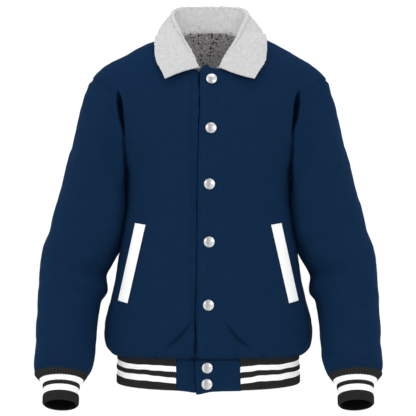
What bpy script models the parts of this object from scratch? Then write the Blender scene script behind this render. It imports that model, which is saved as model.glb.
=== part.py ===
"""Varsity jacket, filled out and hollow: fronts, back, sleeves, ribs, collar, welts and snaps.

Sizes are in millimetres and become metres when a mesh is made. +Z is up, the front faces -Y and +X is the
wearer's left. The origin lies between the shoulders at the base of the neck, where the wearer holds it up.
"""

import math

import bmesh
import bpy
import numpy as np

MM = 0.001

# ---------------------------------------------------------------- cloth
CLOTH = 2.0  # body cloth
WELT_CLOTH = 2.0
WELT_GAP = 0.9  # under a welt, over the front's facets
TAB_CLOTH = 2.4
LINING = 1.6
LINING_GAP = 3.4
FLEECE = 3.0
RIB_CLOTH = 1.8
RIB_RAISE = 0.9
RIB_PITCH = 4.5
SEAM_GAP = 0.4
SLEEVE_SEAM_GAP = 2.1
UNDERARM_GAP = 0.6  # at the underarm the sleeve also stands this far outside the armhole
SHARP_DEGREES = 50.0

# ---------------------------------------------------------------- body, from the hem seam up to the neck
ROUNDNESS = 2.4  # exponent of a section's outline in plan
TOP_ROUNDNESS = 2.5  # exponent of the shoulder's outline from the side
UNDERARM_Z = -262.0
CHEST_Z = -200.0  # the shoulders start to round in above this height
# Below the underarm: height at the middle and at the side, half width, front depth, back depth.
LOWER = (
    (-262.0, -262.0, 163.0, 122.0, 111.0),
    (-315.0, -315.0, 163.5, 122.0, 110.0),
    (-340.0, -340.0, 166.5, 121.5, 110.0),
    (-366.0, -366.0, 170.0, 121.5, 110.0),
    (-405.0, -405.0, 175.5, 121.5, 111.0),
    (-440.0, -440.0, 180.5, 121.5, 112.0),
    (-473.0, -473.0, 185.5, 121.5, 114.0),
    (-515.0, -515.0, 195.0, 122.5, 117.0),
    (-554.0, -554.0, 205.0, 123.5, 119.5),
    (-578.0, -580.0, 207.0, 123.5, 120.5),
    (-596.0, -598.0, 207.5, 121.5, 119.5),
    (-607.0, -611.0, 201.0, 116.5, 115.0),
    (-614.0, -619.0, 190.5, 108.5, 107.0),
    (-617.5, -621.0, 181.0, 102.5, 100.5),
)
# Above the underarm: height, half width, front depth, back depth.
UPPER = (
    (-262.0, 163.0, 122.0, 111.0),
    (-235.0, 170.0, 122.0, 112.0),
    (-200.0, 177.0, 121.0, 112.0),
    (-160.0, 191.0, 118.0, 110.0),
    (-125.0, 207.0, 115.0, 106.0),
    (-95.0, 224.0, 109.0, 101.0),
    (-67.0, 238.0, 103.0, 96.0),
    (0.0, 252.0, 98.0, 90.0),
    (80.0, 256.0, 94.0, 86.0),
)
# The shoulders' heights by distance from the middle: on the wearer's right, then on the left, which sits a
# little higher. Inside the neck it is where the neck would go on.
SHOULDER = (
    (0.0, 62.0, 62.0),
    (35.0, 46.0, 46.0),
    (70.0, 15.0, 16.0),
    (107.0, 3.0, 8.0),
    (128.0, -5.0, 0.0),
    (164.0, -25.0, -20.0),
    (203.0, -44.5, -43.0),
    (222.0, -58.5, -58.0),
    (229.0, -67.0, -67.0),
    (240.0, -80.0, -80.0),
)
NECK_X = 70.0  # the neck point, where neckline and shoulder seam meet
NECK_SHARE = 0.42  # share of a panel's columns that end on its neckline
SHOULDER_X = 229.0
SHOULDER_Z = -67.0
RISE_POWER = 1.3  # above the underarm the columns leave their places there slowly at first
ARM_POWER = 2.0  # the armhole draws the columns in, those near the middle least
# The armholes' edges: height, distance from the middle at the front, and at the back.
ARMHOLE = (
    (-262.0, 163.0, 163.0),
    (-235.0, 161.5, 165.0),
    (-200.0, 162.0, 168.0),
    (-160.0, 167.0, 175.0),
    (-125.0, 178.0, 188.0),
    (-95.0, 198.0, 206.0),
    (-80.0, 214.0, 218.0),
    (-67.0, 229.0, 229.0),
)
# Necklines: distance from the middle, height. Those of the fronts start at their own edge.
NECK_BACK = ((0.0, 31.0), (35.0, 28.5), (58.0, 20.0), (70.0, 15.0))
NECK_LEFT = ((-25.0, -72.0), (-15.5, -66.0), (-5.0, -55.5), (8.0, -63.0), (24.0, -64.0), (42.0, -42.0),
             (54.0, -20.5), (63.0, 0.0), (70.0, 15.0))
NECK_RIGHT = ((-25.0, -66.0), (-5.0, -65.2), (24.0, -64.2), (42.0, -42.0), (54.0, -20.5), (63.0, 0.0),
              (70.0, 15.0))
# The front edge of the lapped-over left front: height, distance past the middle.
FRONT_EDGE = ((-700.0, 20.5), (-617.0, 25.0), (-580.0, 23.0), (-542.0, 24.5), (-485.0, 23.0),
              (-383.0, 21.0), (-315.0, 20.5), (-200.0, 17.0), (-66.0, 15.5))
UNDERLAP = 18.0  # how far the right front reaches past the middle, under the left one
LAP_STEP = (27.5, 38.0)  # between these distances the right front steps in under the left one
LAP_GAP = 1.2
# Soft creases in the fronts above the hem: side, start x, start z, end x, end z, width, depth.
FRONT_CREASES = (
    (-1, 49.0, -567.0, 80.0, -595.0, 13.0, 4.0),
    (1, 46.0, -566.0, 78.0, -597.0, 12.0, 3.5),
    (-1, 116.0, -560.0, 150.0, -600.0, 16.0, 3.0),
    (1, 112.0, -548.0, 140.0, -592.0, 16.0, 3.0),
)
CREASE_ENDS = 0.15  # a crease starts and ends at this share of its half wave
GATHERS = 7  # in each quarter of the hem
GATHER_DEPTH = 1.6
GATHER_HEIGHT = 34.0
GATHER_START = 6.0  # height over which a gather grows from the hem seam
GATHER_EDGE = (24.0, 56.0)  # distances from the middle over which the gathers grow
GATHER_UNEVEN = (0.35, 5.3, 1.0)  # share of the depth, waves in radians a quarter, phase
GATHER_SHIFT = (0.9, 7.0)  # radians by which the gathers shift, waves in radians a quarter

# ---------------------------------------------------------------- sleeves
# Down the sleeve: outer x and z, inner x and z, the middle's y, half the depth from front to back.
SLEEVE = (
    (229.0, -67.0, 164.0, -262.0, 0.0, 66.0),
    (239.0, -86.0, 166.0, -272.0, 0.0, 70.0),
    (252.5, -125.0, 165.0, -283.0, 1.0, 75.0),
    (261.5, -162.0, 163.0, -295.0, 2.0, 80.0),
    (270.5, -202.0, 161.0, -308.0, 3.0, 82.0),
    (283.5, -238.0, 161.0, -325.0, 4.0, 81.0),
    (292.0, -276.0, 163.0, -345.0, 4.0, 79.0),
    (300.0, -307.0, 166.0, -365.0, 3.0, 78.0),
    (310.0, -340.0, 170.0, -388.0, 1.0, 76.0),
    (317.0, -375.0, 176.5, -412.0, -2.0, 75.0),
    (331.0, -412.0, 189.0, -441.0, -7.0, 73.0),
    (336.0, -446.0, 201.0, -466.0, -11.5, 70.0),
    (337.0, -478.0, 199.5, -491.0, -17.5, 68.0),
    (340.0, -508.0, 211.0, -512.0, -24.0, 66.0),
    (338.0, -533.0, 216.0, -539.0, -31.0, 64.0),
    (339.5, -566.0, 218.5, -570.0, -41.0, 63.0),
    (338.5, -596.0, 219.5, -600.0, -51.5, 62.0),
    (339.5, -622.0, 221.5, -624.0, -60.5, 60.0),
    (339.0, -639.0, 226.5, -641.0, -67.0, 55.0),
    (336.0, -652.0, 233.0, -652.5, -72.5, 47.0),
)
SLEEVE_CLEARANCE = 1.6  # between a sleeve and the body's side, along which it hangs
HANG_DROP = 2.0  # it does so from this far below the underarm
FOLD_START = (0.2, 1.5)  # rows over which the folds grow below the armhole
SLEEVE_COLUMNS = 18
ARMHOLE_BLEND_ROWS = 4  # over these rows the sleeve's section leaves the armhole's outline
# Folds across a sleeve: row, angle round it (0 outer, 90 front, 180 inner), rows wide, degrees wide, depth.
SLEEVE_FOLDS = (
    (1.0, 72.0, 0.9, 34.0, -11.0),
    (2.2, 82.0, 0.9, 28.0, -6.0),
    (1.2, 285.0, 1.0, 34.0, -5.0),
    (9.0, 120.0, 0.7, 50.0, -4.0),
    (11.0, 110.0, 0.6, 60.0, -5.0),
    (12.0, 100.0, 0.6, 60.0, 3.0),
    (13.0, 70.0, 0.7, 60.0, -4.0),
    (10.0, 250.0, 0.7, 60.0, -4.0),
    (16.0, 90.0, 0.7, 60.0, -3.0),
)

# ---------------------------------------------------------------- ribs: hem band and cuffs
# Down the hem band: height, half width, front depth, back depth.
HEM = (
    (-618.1, 180.5, 102.5, 100.5),
    (-677.0, 182.5, 103.0, 101.0),
)
HEM_SIDE_DROP = 3.5  # the band's upper edge sits lower at the sides
HEM_SIDE_RISE = 2.5  # and its lower edge higher
TAB_HALF = 61.0  # from the middle to the seam of tab and band
TAB_COLUMNS = 9
TAB_LAP_GAP = 1.0
TAB_DROP = {1: 1.5, -1: 0.5}  # how far the left and the right tab's lower edges sink
# They sink more near the overlap: where, how far, and over what width.
TAB_SAG = {1: (-24.0, 6.0, 22.0), -1: (24.0, 4.2, 19.0)}
# Down the cuff: middle x, y and z, half width, half depth, forward lean in degrees.
CUFF = (
    (284.0, -73.2, -653.8, 48.5, 45.0, 24.0),
    (283.0, -77.8, -662.5, 40.5, 38.5, 26.0),
    (282.5, -84.5, -675.0, 33.2, 33.0, 28.0),
    (281.5, -100.5, -703.0, 32.4, 32.4, 30.0),
)
CUFF_RIBS = 46

# ---------------------------------------------------------------- collar
# From the back's middle to the front end, on the wearer's left: share of the neckline, then the roll's
# crest (x, y, z), the fall's free edge (x, y, z), the roll's radius and how far the fall swells outwards.
COLLAR = (
    (0.00, 0.0, 65.0, 84.0, 0.0, 92.0, 16.0, 5.0, 3.0),
    (0.20, 38.5, 60.0, 83.0, 52.0, 84.0, 13.0, 5.0, 4.0),
    (0.36, 66.0, 41.0, 77.0, 95.0, 52.0, 5.0, 5.0, 7.0),
    (0.50, 75.5, 6.0, 60.0, 109.5, 4.0, 4.0, 5.0, 8.0),
    (0.66, 63.0, -32.0, 27.0, 111.0, -46.0, -19.0, 5.0, 3.0),
    (0.80, 49.0, -64.0, -3.0, 107.5, -77.0, -42.0, 4.5, 1.0),
    (0.92, 29.5, -88.0, -36.5, 94.5, -98.0, -66.0, 4.0, 0.0),
    (1.00, 19.5, -98.0, -59.5, 86.0, -108.0, -82.0, 3.5, 0.0),
)
COLLAR_COLUMNS = 32
COLLAR_LEAN = 3.0  # the roll leans this far to the wearer's left
LEAN_HEIGHTS = (-90.0, -10.0)
COLLAR_NARROW = 3.5  # the fall on the wearer's right is this much narrower
NARROW_SHARES = (0.36, 0.5)  # it becomes so between these shares of the neckline
COLLAR_BOW = {1: -2.0, -1: 2.2}  # the fall's front edge bows up by this much on the left and the right
BOW_SHARES = (0.88, 1.0)
COLLAR_TUCK = 3.0  # round the back the collar's foot stands this far down inside the neckline
COLLAR_FOOT_GAP = 3.6  # and at the front this far above it
TUCK_SHARES = (0.45, 0.62)  # it changes over between these shares of the neckline
COLLAR_INSET = 1.0
COLLAR_END_X = 17.0  # distance from the middle at which the collar ends
SHOULDER_SHARE = 0.5  # share of the neckline that lies on the back
NECK_MIDDLE = np.array([0.0, -18.0, 0.0])
COLLAR_CLEARANCE = 2.2  # between the fall and the cloth below it
WIDEST_CURVE = 120.0  # the lift is worked out for curves no wider than this
CREST_STEP = 0.01  # share of the neckline over which the crest's direction is taken
STAND_ROWS = (0.0, 0.5)  # shares of the stand's height
ROLL_DEGREES = (0.0, 45.0, 90.0, 135.0, 180.0)
FALL_ROWS = (0.3, 0.65, 1.0)  # shares of the way down the fall

# ---------------------------------------------------------------- welts and snaps
# Corners of a welt on the front: distance from the middle and height.
WELT = {
    "top_outer": (139.0, -360.0),
    "top_inner": (120.0, -363.0),
    "bottom_outer": (172.5, -508.5),
    "bottom_inner": (154.5, -512.0),
}
# Snaps on the left front and its tab: x, z.
SNAPS = ((6.3, -84.0), (5.1, -178.6), (2.3, -284.6), (1.7, -394.0), (0.4, -513.3), (-2.0, -634.5),
         (-2.5, -665.5))
SNAP_RADIUS = 10.4
SNAP_HEIGHT = 4.6
# The cap's profile: share of its radius, share of its height.
SNAP_PROFILE = ((0.0, 1.0), (0.45, 0.93), (0.78, 0.68), (0.97, 0.30), (1.0, 0.0), (0.0, 0.0))
SNAP_SIDES = 14

SMALL = 1e-3  # step for slopes
FRONTWARD = np.array([0.0, -1.0, 0.0])
UPWARD = np.array([0.0, 0.0, 1.0])


# ---------------------------------------------------------------- curves
def smooth(rows, column, at):
    """A monotone cubic curve through one column of a table, which never overshoots a row."""
    xs = np.array([row[0] for row in rows], float)
    ys = np.array([row[column] for row in rows], float)
    at = np.clip(np.asarray(at, float), xs[0], xs[-1])
    step = np.diff(xs)
    slope = np.diff(ys) / step
    tangent = np.concatenate([slope[:1], np.zeros(len(xs) - 2), slope[-1:]])
    for i in range(1, len(xs) - 1):
        if slope[i - 1] * slope[i] > 0:
            tangent[i] = 2 * slope[i - 1] * slope[i] / (slope[i - 1] + slope[i])
    k = np.clip(np.searchsorted(xs, at, side="right") - 1, 0, len(xs) - 2)
    t = (at - xs[k]) / step[k]
    rise = ys[k] * (1 + 2 * t) * (1 - t) ** 2 + ys[k + 1] * t * t * (3 - 2 * t)
    return rise + step[k] * t * (1 - t) * (tangent[k] * (1 - t) - tangent[k + 1] * t)


def ease(low, high, at):
    """0 below low, 1 above high and a smooth step between."""
    t = np.clip((np.asarray(at, float) - low) / (high - low), 0, 1)
    return t * t * (3 - 2 * t)


def power(value, exponent):
    """A power that keeps the value's sign."""
    return np.sign(value) * np.abs(value) ** exponent


def unit(vectors):
    return vectors / np.maximum(np.linalg.norm(vectors, axis=-1, keepdims=True), 1e-12)


def stations(rows):
    """A table's rows with their number put first, to read them by place."""
    return [(i, *row) for i, row in enumerate(rows)]


def grid_normals(points, closed):
    """Unit normals of a grid of points, rows by columns; closed grids go round in their columns."""
    if closed:
        across = np.roll(points, -1, 1) - np.roll(points, 1, 1)
    else:
        across = np.gradient(points, axis=1)
    return unit(np.cross(across, np.gradient(points, axis=0)))


# ---------------------------------------------------------------- the body's surface
LOWER_AT = stations(LOWER)
LOWER_END = len(LOWER) - 1


def in_plan(theta, width, front, back):
    """x and y of a section at an angle from the front's middle round to the back's."""
    x = width * power(np.sin(theta), 2 / ROUNDNESS)
    y = -power(np.cos(theta), 2 / ROUNDNESS)
    return x, y * np.where(y < 0, front, back)


def angle_at(x, width):
    """The angle from the middle at which a section is x wide."""
    return np.arcsin(np.clip(power(x / width, ROUNDNESS / 2), -1, 1))


def shoulder_z(x, side):
    """The shoulder's height at a distance from the middle, on the wearer's left (1) or right (-1)."""
    return smooth(SHOULDER, 2 if side > 0 else 1, np.abs(x))


def top_factor(x, z, side):
    """How much of its depth a section keeps as the shoulder rounds in."""
    t = np.clip((z - CHEST_Z) / (shoulder_z(x, side) - CHEST_Z), 0, 1)
    return (1 - t**TOP_ROUNDNESS) ** (1 / TOP_ROUNDNESS)


def top_edge(side, neckline, s, first_x):
    """x and z of a panel's upper edge: its neckline over the first part, then the shoulder."""
    on_neck = first_x + (NECK_X - first_x) * s / NECK_SHARE
    on_shoulder = NECK_X + (SHOULDER_X - NECK_X) * (s - NECK_SHARE) / (1 - NECK_SHARE)
    x = np.where(s < NECK_SHARE, on_neck, on_shoulder)
    z = np.where(s < NECK_SHARE, smooth(neckline, 1, x), shoulder_z(x, side))
    return x, z


def panel(side, s, down, neckline, first_x, back):
    """A point of a body panel, in the coordinates of +X: s runs from its middle edge to its side.

    down is -1 at the upper edge, 0 at the underarm and LOWER_END at the hem seam.
    """
    rise = np.clip(-down, 0, 1)
    low = np.clip(down, 0, LOWER_END)
    top_x, top_z = top_edge(side, neckline, s, first_x(SHOULDER_Z))
    z = UNDERARM_Z + (top_z - UNDERARM_Z) * rise
    arm_z = UNDERARM_Z + (SHOULDER_Z - UNDERARM_Z) * rise
    arm_x = smooth(ARMHOLE, 2 if back else 1, arm_z)
    bottom_angle = math.pi / 2 * s + angle_at(first_x(z), smooth(LOWER_AT, 3, low)) * (1 - s)
    top_angle = angle_at(top_x, smooth(UPPER, 1, top_z))
    arm_angle = angle_at(arm_x, smooth(UPPER, 1, arm_z))
    side_top = angle_at(SHOULDER_X, smooth(UPPER, 1, SHOULDER_Z))
    blend = rise**RISE_POWER
    upper_angle = bottom_angle + (top_angle - bottom_angle) * blend
    upper_angle = upper_angle + s**ARM_POWER * (arm_angle - math.pi / 2 - (side_top - math.pi / 2) * blend)
    theta = np.where(rise > 0, upper_angle, bottom_angle)
    width = np.where(rise > 0, smooth(UPPER, 1, z), smooth(LOWER_AT, 3, low))
    column = 3 if back else 2
    depth = np.where(rise > 0, smooth(UPPER, column, z), smooth(LOWER_AT, column + 2, low))
    sideways = np.sin(theta) ** 2
    low_z = smooth(LOWER_AT, 1, low) * (1 - sideways) + smooth(LOWER_AT, 2, low) * sideways
    z = np.where(rise > 0, z, low_z)
    x, y = in_plan(theta, width, depth, depth)
    y = np.where(rise > 0, y * top_factor(x, z, side), y)
    return np.stack([x, -y if back else y, z], axis=-1)


def panel_grid(side, s, down, neckline, first_x, back):
    """Points and outward normals of a panel, for columns s and rows down."""
    s, down = np.meshgrid(s, down)
    shape = (neckline, first_x, back)
    points = panel(side, s, down, *shape)
    above = np.where(down <= -1, down, down - SMALL)
    below = np.where(down >= LOWER_END, down, down + SMALL)
    along = panel(side, s, below, *shape) - panel(side, s, above, *shape)
    across = panel(side, s + SMALL, down, *shape) - panel(side, s - SMALL, down, *shape)
    normals = unit(np.cross(along, across))
    return points, -normals if back else normals


def crease(points, normals, side):
    """Points pushed in along the front's creases of one side."""
    for which, x0, z0, x1, z1, width, depth in FRONT_CREASES:
        if which != side:
            continue
        start, run = np.array([x0, z0]), np.array([x1 - x0, z1 - z0])
        from_start = points[..., [0, 2]] - start
        share = np.clip((from_start @ run) / (run @ run), 0, 1)
        off = np.linalg.norm(from_start - share[..., None] * run, axis=-1)
        fade = np.sin(math.pi * (CREASE_ENDS + (1 - 2 * CREASE_ENDS) * share))
        points = points - normals * (depth * fade * np.exp(-((off / width) ** 2)))[..., None]
    return points


def gather(points, normals, s):
    """Points of the rows above the hem seam, raised and sunk into small gathers beside the front edge."""
    height = points[..., 2] - points[-1, :, 2]
    share, waves, phase = GATHER_UNEVEN
    shift, shift_waves = GATHER_SHIFT
    wave = np.cos(2 * math.pi * GATHERS * s + shift * np.sin(shift_waves * s))
    wave = wave * (1 + share * np.sin(waves * s + phase))
    fade = np.exp(-((height / GATHER_HEIGHT) ** 2)) * ease(0, GATHER_START, height)
    fade = fade * ease(*GATHER_EDGE, np.abs(points[..., 0]))
    return points + normals * (GATHER_DEPTH * wave * fade)[..., None]


# ---------------------------------------------------------------- meshes
def new_object(name, points, faces, material):
    """Add an object, its points in millimetres, whose faces all point outwards."""
    mesh = bpy.data.meshes.new(name)
    mesh.from_pydata((np.asarray(points) * MM).tolist(), [], faces)
    shape = bmesh.new()
    shape.from_mesh(mesh)
    bmesh.ops.recalc_face_normals(shape, faces=shape.faces)
    shape.to_mesh(mesh)
    shape.free()
    mesh.shade_smooth()
    mesh.set_sharp_from_angle(angle=math.radians(SHARP_DEGREES))
    mesh.materials.append(material)
    thing = bpy.data.objects.new(name, mesh)
    JACKET.objects.link(thing)


def wall(name, outer, inner, closed, material):
    """One closed cloth wall between an outer and an inner grid of points, joined at all its edges.

    The inner grid of a closed wall, which goes round, may have fewer rows.
    """
    rows, columns = outer.shape[:2]
    inner_rows = inner.shape[0]
    start = rows * columns
    points = np.concatenate([outer.reshape(-1, 3), inner.reshape(-1, 3)])
    turns = columns if closed else columns - 1
    faces = []
    if not closed:
        for c in (0, columns - 1):
            for r in range(rows - 1):
                a, b = r * columns + c, (r + 1) * columns + c
                faces.append((a, b, start + b, start + a))
    for c in range(turns):
        d = (c + 1) % columns
        for r in range(rows - 1):
            a, b = r * columns, (r + 1) * columns
            faces.append((a + c, a + d, b + d, b + c))
        for r in range(inner_rows - 1):
            a, b = start + r * columns, start + (r + 1) * columns
            faces.append((a + d, a + c, b + c, b + d))
        last, inner_last = (rows - 1) * columns, start + (inner_rows - 1) * columns
        faces.append((c, start + c, start + d, d))
        faces.append((last + d, inner_last + d, inner_last + c, last + c))
    new_object(name, points, faces, material)


def mirrored(points, side):
    return points * np.array([side, 1.0, 1.0])


def cloth(name, red, green, blue, roughness, metallic=0.0):
    material = bpy.data.materials.new(name)
    material.use_nodes = True
    shader = material.node_tree.nodes["Principled BSDF"]
    shader.inputs["Base Color"].default_value = (red, green, blue, 1)
    shader.inputs["Roughness"].default_value = roughness
    shader.inputs["Metallic"].default_value = metallic
    return material


# ---------------------------------------------------------------- body panels
def left_edge(z):
    return -smooth(FRONT_EDGE, 1, z)


def right_edge(z):
    return -UNDERLAP + 0 * z


def middle(z):
    return 0 * z


LOW_ROWS = (0, 1.5, 3, 4.5, 5.9, 7.1, 8.1, 9, 9.8, 10.6, 11.4, 12.2, LOWER_END)
HIGH_ROWS = (-1, -0.92, -0.78, -0.6, -0.4, -0.2)
FRONT_COLUMNS = np.concatenate([[0, 0.025], np.linspace(0.06, 1, 20)])
BACK_COLUMNS = np.linspace(-1, 1, 37)
LINING_COLUMNS = BACK_COLUMNS[3:-3:2]
LINING_DROP = 0.45  # the lining starts this share of the first row below the neckline


def front_grid(side, s, down):
    """Points and normals of a front, in the coordinates of +X."""
    neckline, edge = (NECK_LEFT, left_edge) if side > 0 else (NECK_RIGHT, right_edge)
    points, normals = panel_grid(side, s, down, neckline, edge, False)
    points = gather(points, normals, s)
    points = crease(points, normals, side)
    if side < 0:
        lap = (CLOTH + LAP_GAP) * (1 - ease(*LAP_STEP, points[..., 0]))
        points = points - normals * lap[..., None]
    return points, normals


def front(side, material):
    points, normals = front_grid(side, FRONT_COLUMNS, np.array(HIGH_ROWS + LOW_ROWS, float))
    inner = points - normals * CLOTH
    for layer in (points, inner):
        layer[..., 1] = np.minimum(layer[..., 1], -SEAM_GAP / 2)
    name = "front_left" if side > 0 else "front_right"
    wall(name, mirrored(points, side), mirrored(inner, side), False, material)


def back_grid(s, down):
    """Points and normals of the whole back, for columns s from -1 at one side to 1 at the other."""
    right, left = (panel_grid(side, np.abs(s), down, NECK_BACK, middle, True) for side in (-1, 1))
    points, normals = (np.where(s[None, :, None] < 0, a, b) for a, b in zip(right, left))
    points = gather(points, normals, np.abs(s))
    sign = np.where(s < 0, -1.0, 1.0)[:, None] * np.array([1.0, 0, 0]) + np.array([0, 1.0, 1.0])
    return points * sign, normals * sign


def back(material):
    points, normals = back_grid(BACK_COLUMNS, np.array(HIGH_ROWS + LOW_ROWS, float))
    inner = points - normals * CLOTH
    for layer in (points, inner):
        layer[..., 1] = np.maximum(layer[..., 1], SEAM_GAP / 2)
    wall("back", points, inner, False, material)


def lining_back(material):
    """The lining inside the back, seen through the neck."""
    points, normals = back_grid(LINING_COLUMNS, np.array(HIGH_ROWS[:-1], float))
    points[0] += (points[1] - points[0]) * LINING_DROP
    outer = points - normals * (CLOTH + LINING_GAP)
    wall("lining_back", outer, outer - normals * LINING, False, material)


# ---------------------------------------------------------------- sleeves
def armhole_ring(side, angles):
    """Points and normals of the armhole's edge, from the shoulder over the front and round."""
    points, normals = [], []
    for angle, down in zip(angles, -(1 + np.cos(angles)) / 2):
        behind = angle > math.pi
        neckline, edge = (NECK_BACK, middle) if behind else (NECK_LEFT, left_edge)
        point, normal = panel_grid(side, np.ones(1), np.array([down]), neckline, edge, behind)
        points.append(point[0, 0])
        normals.append(normal[0, 0])
    return np.array(points), np.array(normals)


SLEEVE_AT = stations(SLEEVE)


def sleeve_rings(row, angles):
    """Rings of the sleeve on +X at places down its table, before the armhole's outline is blended in."""
    row = np.asarray(row, float)
    outer_x, outer_z, inner_x, inner_z, mid_y, depth = (smooth(SLEEVE_AT, c, row) for c in range(1, 7))
    middle_line = np.stack([(outer_x + inner_x) / 2, mid_y, (outer_z + inner_z) / 2], -1)
    outward = np.stack([(outer_x - inner_x) / 2, 0 * row, (outer_z - inner_z) / 2], -1)
    ahead = smooth(SLEEVE_AT, 5, row - SMALL) - smooth(SLEEVE_AT, 5, row + SMALL)
    fall = smooth(SLEEVE_AT, 4, row - SMALL) - smooth(SLEEVE_AT, 4, row + SMALL)
    lean = np.arctan2(ahead, fall)
    frontward = np.stack([0 * row, -np.cos(lean), np.sin(lean)], -1) * depth[:, None]
    cos, sin = np.cos(angles)[None, :, None], np.sin(angles)[None, :, None]
    return middle_line[:, None] + outward[:, None] * cos + frontward[:, None] * sin


def body_side(y, z):
    """How far out the body's side reaches below the underarm, at a depth and height."""
    row = np.interp(-z, [-low[1] for low in LOWER], range(len(LOWER)))
    width = smooth(LOWER_AT, 3, row)
    depth = np.where(y < 0, smooth(LOWER_AT, 4, row), smooth(LOWER_AT, 5, row))
    return width * (1 - np.clip(np.abs(y) / depth, 0, 1) ** ROUNDNESS) ** (1 / ROUNDNESS)


def sleeve_grid(side, rows, columns):
    """Points and normals of a sleeve, in the coordinates of +X."""
    angles = np.arange(columns) * 2 * math.pi / columns
    points = sleeve_rings(rows, angles)
    rim, rim_normals = armhole_ring(side, angles)
    following = np.roll(rim, -1, 0) - np.roll(rim, 1, 0)
    away = unit(np.cross(rim_normals, following))
    rim = rim + away * SLEEVE_SEAM_GAP
    rim[:, 0] += UNDERARM_GAP * (1 - np.cos(angles)) / 2
    weight = 1 - ease(0, ARMHOLE_BLEND_ROWS, rows)
    points = points + weight[:, None, None] * (rim - sleeve_rings([0.0], angles)[0])
    normals = grid_normals(points, True)
    degrees = np.degrees(angles)
    for at_row, at_angle, wide_rows, wide_degrees, depth in SLEEVE_FOLDS:
        apart = np.abs((degrees - at_angle + 180) % 360 - 180)
        over = np.exp(-((apart / wide_degrees) ** 2))
        along = np.exp(-(((rows - at_row) / wide_rows) ** 2)) * ease(*FOLD_START, rows)
        points = points + normals * (depth * along[:, None] * over)[..., None]
    height = points[..., 2]
    least = body_side(points[..., 1], height) + SLEEVE_CLEARANCE
    beside = (height < UNDERARM_Z - HANG_DROP) & (rows[:, None] > 0)
    points[..., 0] = np.where(beside, np.maximum(points[..., 0], least), points[..., 0])
    normals = grid_normals(points, True)
    share = np.clip(1 + np.cos(angles), 0, 1)[:, None]
    normals[0] = unit(rim_normals * share + normals[0] * (1 - share))
    return points, normals


def sleeve(side, material):
    rows = np.concatenate([[0, 0.5], np.arange(1, len(SLEEVE))]).astype(float)
    points, normals = sleeve_grid(side, rows, SLEEVE_COLUMNS)
    name = "sleeve_left" if side > 0 else "sleeve_right"
    wall(name, mirrored(points, side), mirrored(points - normals * CLOTH, side), True, material)


# ---------------------------------------------------------------- ribs
def cuff_grid(rows, angles):
    """Rings of the cuff on +X at places down its table."""
    table = stations(CUFF)
    x, y, z, wide, deep, lean = (smooth(table, c, rows)[:, None] for c in range(1, 7))
    lean = np.radians(lean)
    ring_x = x + wide * np.cos(angles)
    ring_y = y - deep * np.sin(angles) * np.cos(lean)
    ring_z = z + deep * np.sin(angles) * np.sin(lean)
    return np.stack([ring_x, ring_y, ring_z], -1)


def cuff(side, material):
    """A ribbed cuff: its outer points rise and sink by turns over a plain inside."""
    angles = np.arange(2 * CUFF_RIBS) * math.pi / CUFF_RIBS
    rows = np.arange(len(CUFF), dtype=float)
    outer = cuff_grid(rows, angles)
    normals = grid_normals(outer, True)
    raised = np.where(np.arange(2 * CUFF_RIBS) % 2 == 0, RIB_RAISE, 0.0)
    ribbed = outer + normals * raised[None, :, None]
    inner = (outer - normals * RIB_CLOTH)[[0, 2, -1]]
    name = "cuff_left" if side > 0 else "cuff_right"
    wall(name, mirrored(ribbed, side), mirrored(inner, side), True, material)


def hem_ring(theta, row):
    """Points of the hem band's surface at angles from the front's middle; +X first."""
    z, width, front, behind = (smooth(stations(HEM), c, row) for c in range(1, 5))
    x, y = in_plan(theta, width, front, behind)
    drop = (HEM_SIDE_DROP * (1 - row) - HEM_SIDE_RISE * row) * np.sin(theta) ** 2
    return np.stack([x, y, z - drop], -1)


def hem_rib(material):
    """The ribbed hem band, from the left tab's seam round the back to the right tab's."""
    half = angle_at(TAB_HALF + SEAM_GAP, HEM[0][1])
    fine = np.linspace(half, 2 * math.pi - half, 2000)
    line = hem_ring(fine, 0.5)
    length = np.concatenate([[0], np.cumsum(np.linalg.norm(np.diff(line, axis=0), axis=1))])
    ribs = round(length[-1] / RIB_PITCH)
    theta = np.interp(np.linspace(0, length[-1], 2 * ribs + 1), length, fine)
    outer = np.array([hem_ring(theta, row) for row in range(len(HEM))])
    normals = -grid_normals(outer, False)
    raised = np.where(np.arange(2 * ribs + 1) % 2 == 1, RIB_RAISE, 0.0)
    ribbed = outer + normals * raised[None, :, None]
    wall("hem_rib", ribbed, outer - normals * RIB_CLOTH, False, material)


def tab_grid(side, columns, rows):
    """Points and normals of a hem tab, in the coordinates of +X."""
    outer_angle = angle_at(TAB_HALF, HEM[0][1])
    points = []
    for row in rows:
        z = smooth(stations(HEM), 1, row)
        first = -smooth(FRONT_EDGE, 1, z) if side > 0 else -UNDERLAP
        theta = np.linspace(angle_at(first, HEM[0][1]), outer_angle, columns)
        ring = hem_ring(theta, row)
        at, sag, width = TAB_SAG[side]
        drop = TAB_DROP[side] + sag * np.exp(-(((ring[:, 0] - at) / width) ** 2))
        ring[:, 2] -= drop * ease(0, len(HEM) - 1, row)
        points.append(ring)
    points = np.array(points)
    normals = -grid_normals(points, False)
    if side < 0:
        lap = (TAB_CLOTH + TAB_LAP_GAP) * (1 - ease(*LAP_STEP, points[..., 0]))
        points = points - normals * lap[..., None]
    return points, normals


def hem_tab(side, material):
    points, normals = tab_grid(side, TAB_COLUMNS, np.linspace(0, len(HEM) - 1, 3))
    name = "hem_tab_left" if side > 0 else "hem_tab_right"
    wall(name, mirrored(points, side), mirrored(points - normals * TAB_CLOTH, side), False, material)


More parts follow.
